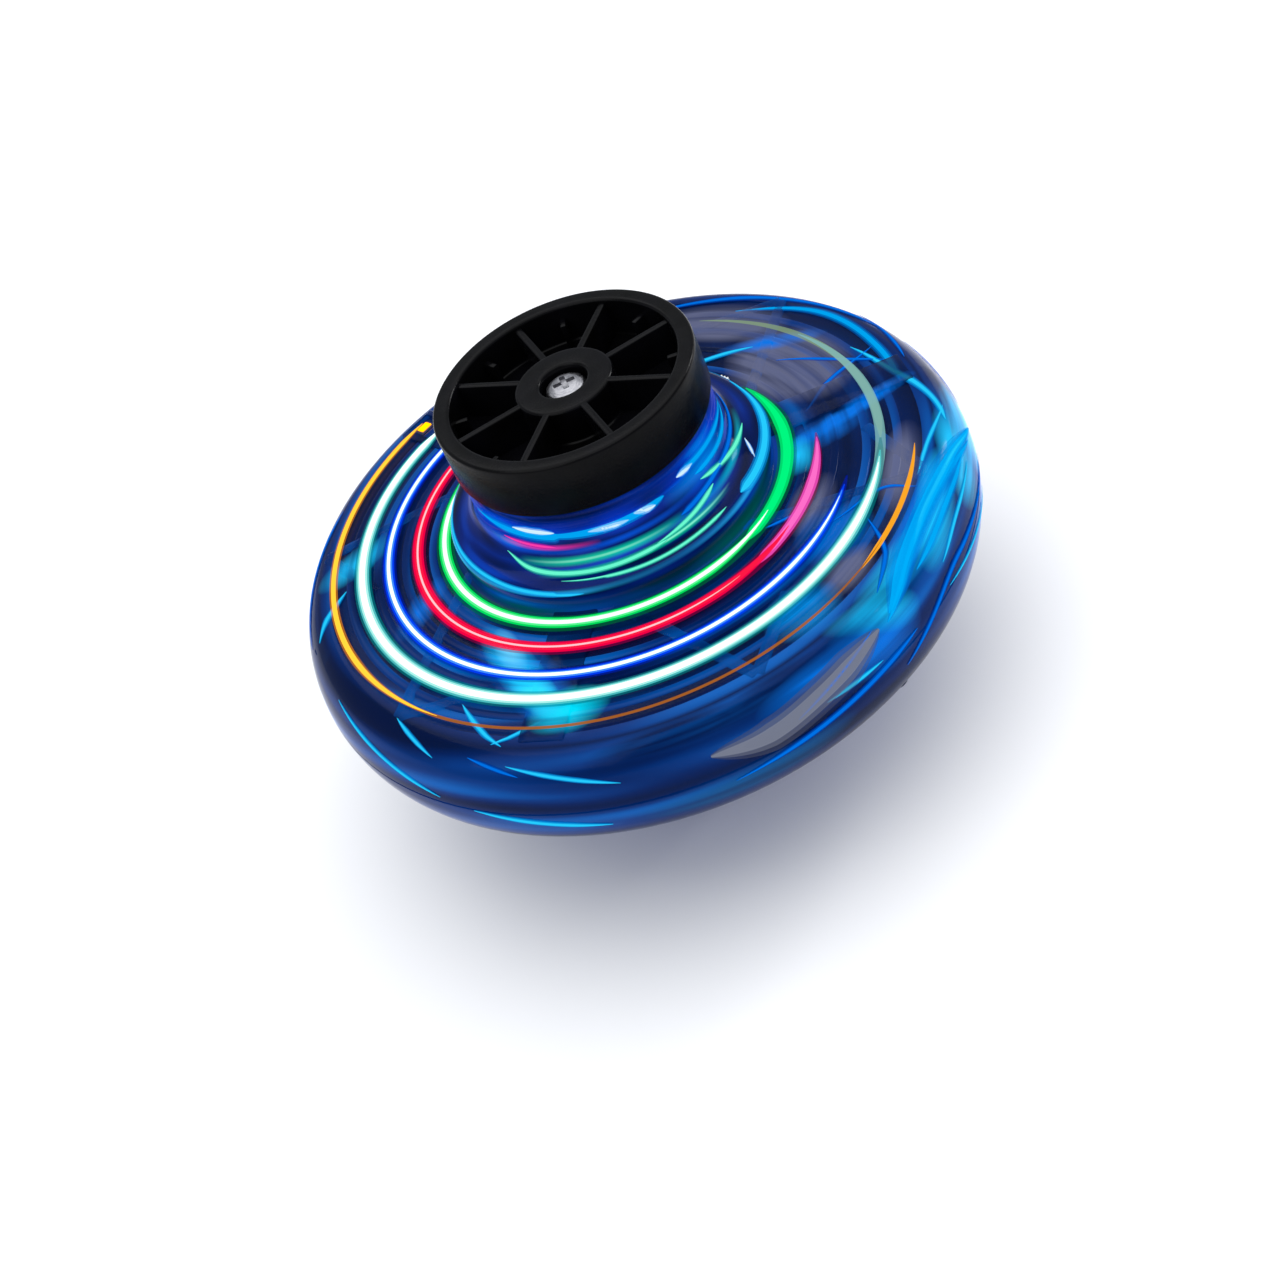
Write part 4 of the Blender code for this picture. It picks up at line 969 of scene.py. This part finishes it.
# Thin streaks of painted light over the cage, highlights and reflections of the lamps and the rings'
# lights, by colour: the points they run through, as distance outwards over the surface and angle in
# degrees, and half their width
STREAKS = {
    "cyan": (
        ((45.5, -166), (50.5, -140), 0.26),
        ((42, -150), (45.5, -140), 0.2),
        ((45.2, -126), (48.4, -108), 0.2),
        ((51.4, -134), (53.8, -112), 0.32),
        ((43.6, 180), (38, 170), 0.3),
        ((37, -139), (42.5, -127), 0.24),
        ((42.3, -129), (38, -120), 0.2),
        ((37.8, 13), (39.8, 0), (43.5, -11), (44.5, -16), 0.34),
        ((44.6, -12), (41.3, -23), (40.5, -31), 0.2),
        ((24, 52), (31, 34), 0.3),
        ((49.6, -75), (50, -64), 0.2),
        ((47.8, -23), (47.5, -36), (48.4, -45), 0.2),
        ((48.8, -14), (45, -25), (43.1, -38), (44, -47), 0.3),
        ((53.2, -20), (51, -46), 0.16),
        ((17.4, 18), (18, -4), (17.8, -32), (17.4, -48), 0.45),
        ((17.4, 155), (17.5, 200), (17.8, 220), (18.3, 246), 0.2),
    ),
    "azure": (
        ((49.6, -12), (45.2, -24), (43, -37), (43.6, -49), (46.6, -59), 0.85),
        ((48.4, -17), (44.2, -32), (43.8, -46), (47.2, -60), 0.5),
        ((46.8, -22), (45.6, -36), (46, -50), 0.35),
        ((38, 46), (40.8, 28), (40.4, 9), (39.8, -3), 0.42),
        ((10, -8), (9.2, -40), (8.8, -62), 0.4),
        ((11.8, -2), (11.6, -30), (11, -54), 0.3),
        ((8.6, -166), (9.6, -140), (10.4, -104), (10.2, -72), 0.6),
    ),
    "blue": (
        ((39, 70), (44, 16), 0.34),
        ((45.5, 24), (42.5, 3), 0.26),
        ((46, 11), (49.5, -6), 0.3),
        ((36.2, -43), (40.8, -50), (43.8, -58), 0.22),
        ((31.8, -46), (36, -35), (40.8, -34), 0.2),
        ((51.6, -15), (50.2, -36), (50.2, -46), (53.2, -60), 0.3),
        ((49.4, -80), (46.5, -63), 0.24),
        ((44.5, -133), (46.5, -124), 0.2),
        ((46, 178), (42.5, 145), 0.26),
        ((52.6, -92), (50.5, -56), 0.34),
        ((24.2, -52), (27, -44), 0.2),
        ((30, 24), (35, 12), (40, 4), 0.22),
        ((27, -2), (32, 6), (40, 10), 0.24),
        ((13.4, 10), (13, -40), (13.6, -70), 0.26),
    ),
    "teal": (
        ((13.2, -150), (14.8, -134), (15.4, -108), (15.2, -80), 0.26),
        ((15, -84), (14.4, -66), (13.6, -50), 0.22),
        ((16.4, -122), (17.1, -90), (17.1, -56), 0.16),
        ((15, -12), (13.8, -30), (12, -53), 0.24),
    ),
    "white": (
        ((8.8, -142), (9.4, -122), 0.4),
        ((10.3, -108), (10.6, -90), 0.4),
        ((10.1, -87), (10.6, -77), 0.46),
        ((8.9, -64), (9.1, -54), 0.34),
        ((15.2, -21), (17, -31), 0.14),
    ),
    "magenta": (((11.3, -152), (11.8, -124), 0.18),),
    # A grey painted reflection on the rim
    "grey_reflection": (((48.6, -94), (49.3, -85), (48.4, -75), (47, -62), 1.25),),
}
# Each colour's edge, its middle, how solid it is and its slot
STREAK_LIGHTS = {
    "cyan": ((0, 0.25, 0.75), (0.02, 0.62, 1), 1, "led_blue"),
    "azure": ((0, 0.16, 0.7), (0, 0.45, 1), 0.6, "led_blue"),
    "blue": ((0, 0.03, 0.3), (0, 0.17, 0.8), 1, "led_blue"),
    "teal": ((0, 0.35, 0.3), (0.15, 1, 0.65), 1, "led_green"),
    "white": ((0, 0.25, 1), (0.7, 0.92, 1), 1, "led_white"),
    "magenta": ((0.3, 0, 0.3), (1, 0.05, 0.42), 1, "led_red"),
    "grey_reflection": ((0.07, 0.08, 0.13), (0.19, 0.21, 0.28), 0.8, "clear_blue"),
}
# Each layer of a streak: its share of the width, of the way to the middle's colour, solidity
STREAK_LAYERS = {"edge": (1.9, 0, 0.3), "glow": (1.35, 0.5, 0.45), "core": (0.8, 1, 0.85)}


def through(points, share):
    """The place at a share of the way along a smooth path through points."""
    spans = len(points) - 1
    i = min(int(share * spans), spans - 1)
    t = share * spans - i
    near, far = points[i], points[i + 1]
    before = points[i - 1] if i else near * 2 - far
    after = points[i + 2] if i + 1 < spans else far * 2 - near
    bend = (before * 2 - near * 5 + far * 4 - after) * t ** 2
    twist = (near * 3 - before - far * 3 + after) * t ** 3
    return (near * 2 + (far - before) * t + bend + twist) / 2


def trail(path, width, lift, depth):
    """A ribbon of light along a path over the surface, drawn out to a point at both ends."""
    work = bmesh.new()
    points = [Vector((along, radians(angle))) for along, angle in path]
    sweep = abs(points[-1].y - points[0].y)
    count = max(round(sweep / TRAIL_STEP), STEPS_PER_POINT * len(path))
    tapers = [min(taper / sweep, TAPER_LIMIT) for taper in TAPERS]
    rings = []
    for i in range(count + 1):
        share = i / count
        along, angle = through(points, share)
        radius, height, fall = on_surface(along)
        turn = Matrix.Rotation(angle, 3, "Z")
        outward = turn @ Vector((cos(fall), 0, -sin(fall)))
        around = turn @ Vector((0, 1, 0))
        normal = turn @ Vector((sin(fall), 0, cos(fall)))
        ahead = through(points, min(share + HEADING_STEP, 1))
        step = ahead - through(points, max(share - HEADING_STEP, 0))
        heading = Vector((step.x, radius * step.y)).normalized()
        across = outward * heading.y - around * heading.x
        centre = turn @ Vector((radius, 0, height)) + normal * lift
        nearest = min(share / tapers[0], (1 - share) / tapers[1], 1)
        thin = max(nearest, THINNEST) ** TAPER_POWER
        ring = []
        for side in range(TRAIL_SIDES):
            spin = TURN * side / TRAIL_SIDES
            over = across * width * cos(spin) + normal * depth * sin(spin)
            ring.append(work.verts.new(centre + over * thin))
        rings.append(ring)
    return skinned(work, rings)


def led_radius(led):
    low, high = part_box("led_" + led)
    middle = (low + high) / 2 / MM
    return hypot(middle.x, middle.y)


def build_trails():
    """Each light's ring, with flat halos under a round core."""
    counts = {led: 0 for led in LEDS}
    for led, start, end, width, colour, strength, solid in TRAILS:
        radius = led_radius(led)
        counts[led] += 1
        name = f"trail_{led}_{counts[led]}"
        glow = light_glow(name, colour, strength, solid)
        depth = width / 2 if solid == 1 else HALO_DEPTH
        lift = TRAIL_LIFT + LAYER_LIFT * counts[led]
        work = trail(((radius, start), (radius, end)), width, lift, depth)
        place(name, work, "upper", glow, "cage", "led_" + led)


def build_streaks():
    """Thin streaks of painted shine, the lights' highlights and reflections on the cage, each a
    bright middle over soft edges.
    """
    for tone, streaks in STREAKS.items():
        edge, middle, density, slot = STREAK_LIGHTS[tone]
        for layer, (share, mix, solid) in STREAK_LAYERS.items():
            lift = STREAK_LIFT * (1 + 2 * mix)
            ribbons = [trail(path, width * share, lift, HALO_DEPTH) for *path, width in streaks]
            name = f"streaks_{tone}_{layer}"
            colour = Vector(edge).lerp(Vector(middle), mix)
            glow = light_glow(name, colour, 1, solid * density)
            place(name, together(ribbons), "upper", glow, "cage", slot)


# -------- grips


def cap_work():
    outline = softened(
        [
            (CAP_RADIUS, MIDDLE), (CAP_RADIUS, CAP_LEDGE),
            (CAP_FOOT_RADIUS, CAP_LEDGE), (CAP_FOOT_RADIUS, CAP_FOOT),
            (CAP_SKIRT_RADIUS, CAP_FOOT), (CAP_SKIRT_RADIUS, CAP_UNDERSIDE),
            (CAP_BORE, CAP_UNDERSIDE), (CAP_BORE, CAP_SCREW_SEAT),
            (CAP_SCREW_RECESS, CAP_SCREW_SEAT), (CAP_SCREW_RECESS, CAP_HUB_TOP),
            (CAP_HUB_RADIUS, CAP_HUB_TOP), (CAP_HUB_RADIUS, POCKET_FLOOR),
            (CAP_RING_RADIUS, POCKET_FLOOR), (CAP_RING_RADIUS, MIDDLE),
        ],
        0.55, segments=5,
    )
    solids = [turned(outline)]
    for i in range(SPOKES):
        angle = SPOKE_START + i * TURN / SPOKES
        reach = (CAP_HUB_RADIUS - SPOKE_OVERLAP, CAP_RING_RADIUS + SPOKE_OVERLAP)
        solids.append(polar_block(angle, reach, SPOKE_WIDTH, SPOKE_SPAN, edge=0.25))
        stub = angle + TURN / SPOKES / 2
        solids.append(polar_block(stub, STUB_REACH, STUB_WIDTH, STUB_SPAN, edge=0.2))
    return combined(solids)


def screw_work(head, shank, seat, place_at=(0, 0)):
    """A pan-head screw standing on its seat, with a cross recess in its head."""
    outline = [
        (0, head[1]), (head[0] * 0.6, head[1]), (head[0], head[1] * 0.55), (head[0], 0),
        (shank[0], 0), (shank[0], -shank[1]), (0, -shank[1]),
    ]
    body = turned(softened(outline, 0.25, closed=False), SCREW_STEPS)
    width = head[0] * 0.28
    cuts = []
    for turn in (0, pi / 2):
        arm = block((head[0] * 1.1, width, head[1]), 0.05)
        cuts.append(moved(arm, (0, 0, head[1] * 1.05), (0, 0, turn)))
    return moved(combined([body], [combined(cuts)]), (*place_at, seat))


def build_grips():
    for half in HALVES:
        body = half + "_grip"
        cap = half + "_grip_cap"
        place(cap + "_fine", cap_work(), half, MATERIALS["black_grip"], body, "black_grip", [cap])
        screw = half + "_cap_screw"
        work = screw_work(*CAP_SCREW, CAP_SCREW_SEAT + SCREW_STAND)
        place(screw + "_fine", work, half, MATERIALS["steel"], body, "steel", [screw])


def build_frame_screws():
    for i, angle in enumerate(SCREW_ANGLES):
        node = f"frame_screw_{i + 1}"
        circle = polar(RIM_CIRCLE, angle)
        work = screw_work(*FRAME_SCREW, RECESS_SEAT + SCREW_STAND, circle)
        place(node + "_fine", work, "lower", MATERIALS["steel"], "cage", "steel", [node])


# -------- propeller and switch


def blade():
    """One twisted blade along X with an aerofoil section and a rounded tip."""
    work = bmesh.new()
    stations, half_points = BLADE_GRID
    rings = []
    for i in range(stations + 1):
        share = i / stations
        swell = CHORD[1] * sin(pi * share ** SWELL_POWER)
        chord = CHORD[0] + (CHORD[2] - CHORD[0]) * share + swell
        chord *= min(1, (1 - share) * TIP_ROUNDING[0] + TIP_ROUNDING[1]) ** 0.5
        pitch = PITCH[0] + (PITCH[1] - PITCH[0]) * share
        radius = BLADE_ROOT + (BLADE_TIP - BLADE_ROOT) * share
        ring = []
        for side in (1, -1):
            for step in range(half_points):
                t = step / half_points if side > 0 else 1 - step / half_points
                across = (t - 0.5) * chord
                bulge = 1 - (2 * t - 1) ** 2
                thinning = BLADE_THINNING[0] - BLADE_THINNING[1] * share
                thick = side * BLADE_THICKNESS * bulge ** 0.5 * thinning
                rise = BLADE_CAMBER * chord * bulge + thick
                y = across * cos(pitch) - rise * sin(pitch)
                z = BLADE_HEIGHT + across * sin(pitch) + rise * cos(pitch)
                ring.append(work.verts.new((radius, y, z)))
        rings.append(ring)
    return skinned(work, rings)


def build_propeller():
    solids = [washer(*PROPELLER_HUB, edge=0.2, steps=SCREW_STEPS)]
    for i in range(BLADES):
        solids.append(moved(blade(), (0, 0, 0), (0, 0, BLADE_START + i * TURN / BLADES)))
    material = MATERIALS["black_plastic"]
    work = combined(solids)
    place("propeller_fine", work, "upper", material, "rotor", "black_plastic", ["propeller"])


def build_switch_knob():
    """The knob with three finger ridges on its face."""
    solids = [
        polar_block(SWITCH_ANGLE, KNOB_REACH, KNOB_WIDTH, KNOB_SPAN, 0.2, KNOB_OFFSET),
        polar_block(SWITCH_ANGLE, STEM_REACH, STEM_WIDTH, STEM_SPAN, 0.1, KNOB_OFFSET),
    ]
    span = (KNOB_SPAN[0] + 0.1, KNOB_SPAN[1] - 0.1)
    for i in range(RIDGES):
        ridge = KNOB_OFFSET + (i - 1) * RIDGE_PITCH
        solids.append(polar_block(SWITCH_ANGLE, RIDGE_REACH, RIDGE_WIDTH, span, 0.08, ridge))
    material = MATERIALS["white_plastic"]
    work = combined(solids)
    place("switch_knob_fine", work, "upper", material, "switch", "white_plastic", ["switch_knob"])


def build_leds():
    """Each light as a small white package around a domed lens."""
    for led in LEDS:
        node = "led_" + led
        radius = led_radius(led)
        reach = (radius - LED_SIZE[0] / 2, radius + LED_SIZE[0] / 2)
        span = (LED_SPAN[0], PACKAGE_TOP)
        package = deck_block(LED_ANGLE, reach, LED_SIZE[1], span, edge=0.12)
        reach = (reach[0] + LENS_INSET[0], reach[1] - LENS_INSET[0])
        span = (LENS_BOTTOM, LED_SPAN[1])
        lens = deck_block(LED_ANGLE, reach, LED_SIZE[1] - LENS_INSET[1], span, edge=0.2)
        white = MATERIALS["white_plastic"]
        body = place(node + "_package", package, "upper", white, "cage", "white_plastic")
        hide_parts(node)
        place(node + "_lens", lens, "upper", MATERIALS[node], "cage", node)


def paint_inside():
    """The pieces inside keep their shapes and take their materials."""
    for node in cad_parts.values():
        if not node.hide_render:
            slot = node.material_slots[0]
            slot.material = MATERIALS[slot.material.name.split(".")[0]]
            node.data.shade_smooth()
            node.data.set_sharp_from_angle(angle=CAD_SHARP_ANGLE)


# -------- stage


VIEW_ELEVATION = radians(41)
VIEW_ROLL = radians(-25)
VIEW_DISTANCE = 0.300
VIEW_AIM = (MIDDLE + 9.5) * MM
VIEW_SHIFT = (0.0034, -0.019)
LENS = 65.0
FLOOR_REACH = 3
SKY = (0.9, 0.94, 1, 1)
SKY_STRENGTH = 0.6
# Each light's place, size and power
LIGHTS = {
    "overhead": ((0.05, 0.1, 0.9), (1.4, 1.4), 10),
    "fill": ((-0.7, -0.5, 0.7), (0.9, 0.9), 3),
    "side": ((0.6, 0.25, 0.3), (0.1, 0.3), 1.5),
}


def build_camera():
    data = bpy.data.cameras.new("camera")
    data.lens = LENS
    data.sensor_width = 36.0
    data.clip_start = 0.01
    camera = bpy.data.objects.new("camera", data)
    turn = Matrix.Rotation(pi / 2 - VIEW_ELEVATION, 4, "X") @ Matrix.Rotation(VIEW_ROLL, 4, "Z")
    back = turn @ Matrix.Translation((*VIEW_SHIFT, VIEW_DISTANCE))
    camera.matrix_world = Matrix.Translation((0, 0, VIEW_AIM)) @ back
    bpy.context.scene.collection.objects.link(camera)
    bpy.context.scene.camera = camera


def build_light(name, place_at, size, power):
    data = bpy.data.lights.new(name, "AREA")
    data.shape = "RECTANGLE"
    data.size, data.size_y = size
    data.energy = power
    lamp = bpy.data.objects.new(name, data)
    lamp.location = place_at
    aim = Vector((0, 0, MIDDLE * MM)) - lamp.location
    lamp.rotation_mode = "QUATERNION"
    lamp.rotation_quaternion = aim.to_track_quat("-Z", "Y")
    bpy.context.scene.collection.objects.link(lamp)


def build_stage():
    work = bmesh.new()
    bmesh.ops.create_grid(work, x_segments=8, y_segments=8, size=FLOOR_REACH)
    floor = as_object(work, "floor")
    paint = Painter("floor")
    paint.base(paint.noise(3), [(0.3, (0.86, 0.86, 0.87)), (0.7, (0.9, 0.9, 0.9))])
    paint.set(roughness=0.7)
    floor.data.materials.append(paint.material)
    world = bpy.data.worlds.new("studio")
    world.use_nodes = True
    sky = world.node_tree.nodes["Background"]
    sky.inputs["Color"].default_value = SKY
    sky.inputs["Strength"].default_value = SKY_STRENGTH
    bpy.context.scene.world = world
    bpy.context.scene.view_settings.view_transform = "Standard"
    for name, light in LIGHTS.items():
        build_light(name, *light)


build_camera()
build_stage()
build_cage()
build_trails()
build_streaks()
build_grips()
build_frame_screws()
build_propeller()
build_switch_knob()
build_leds()
paint_inside()
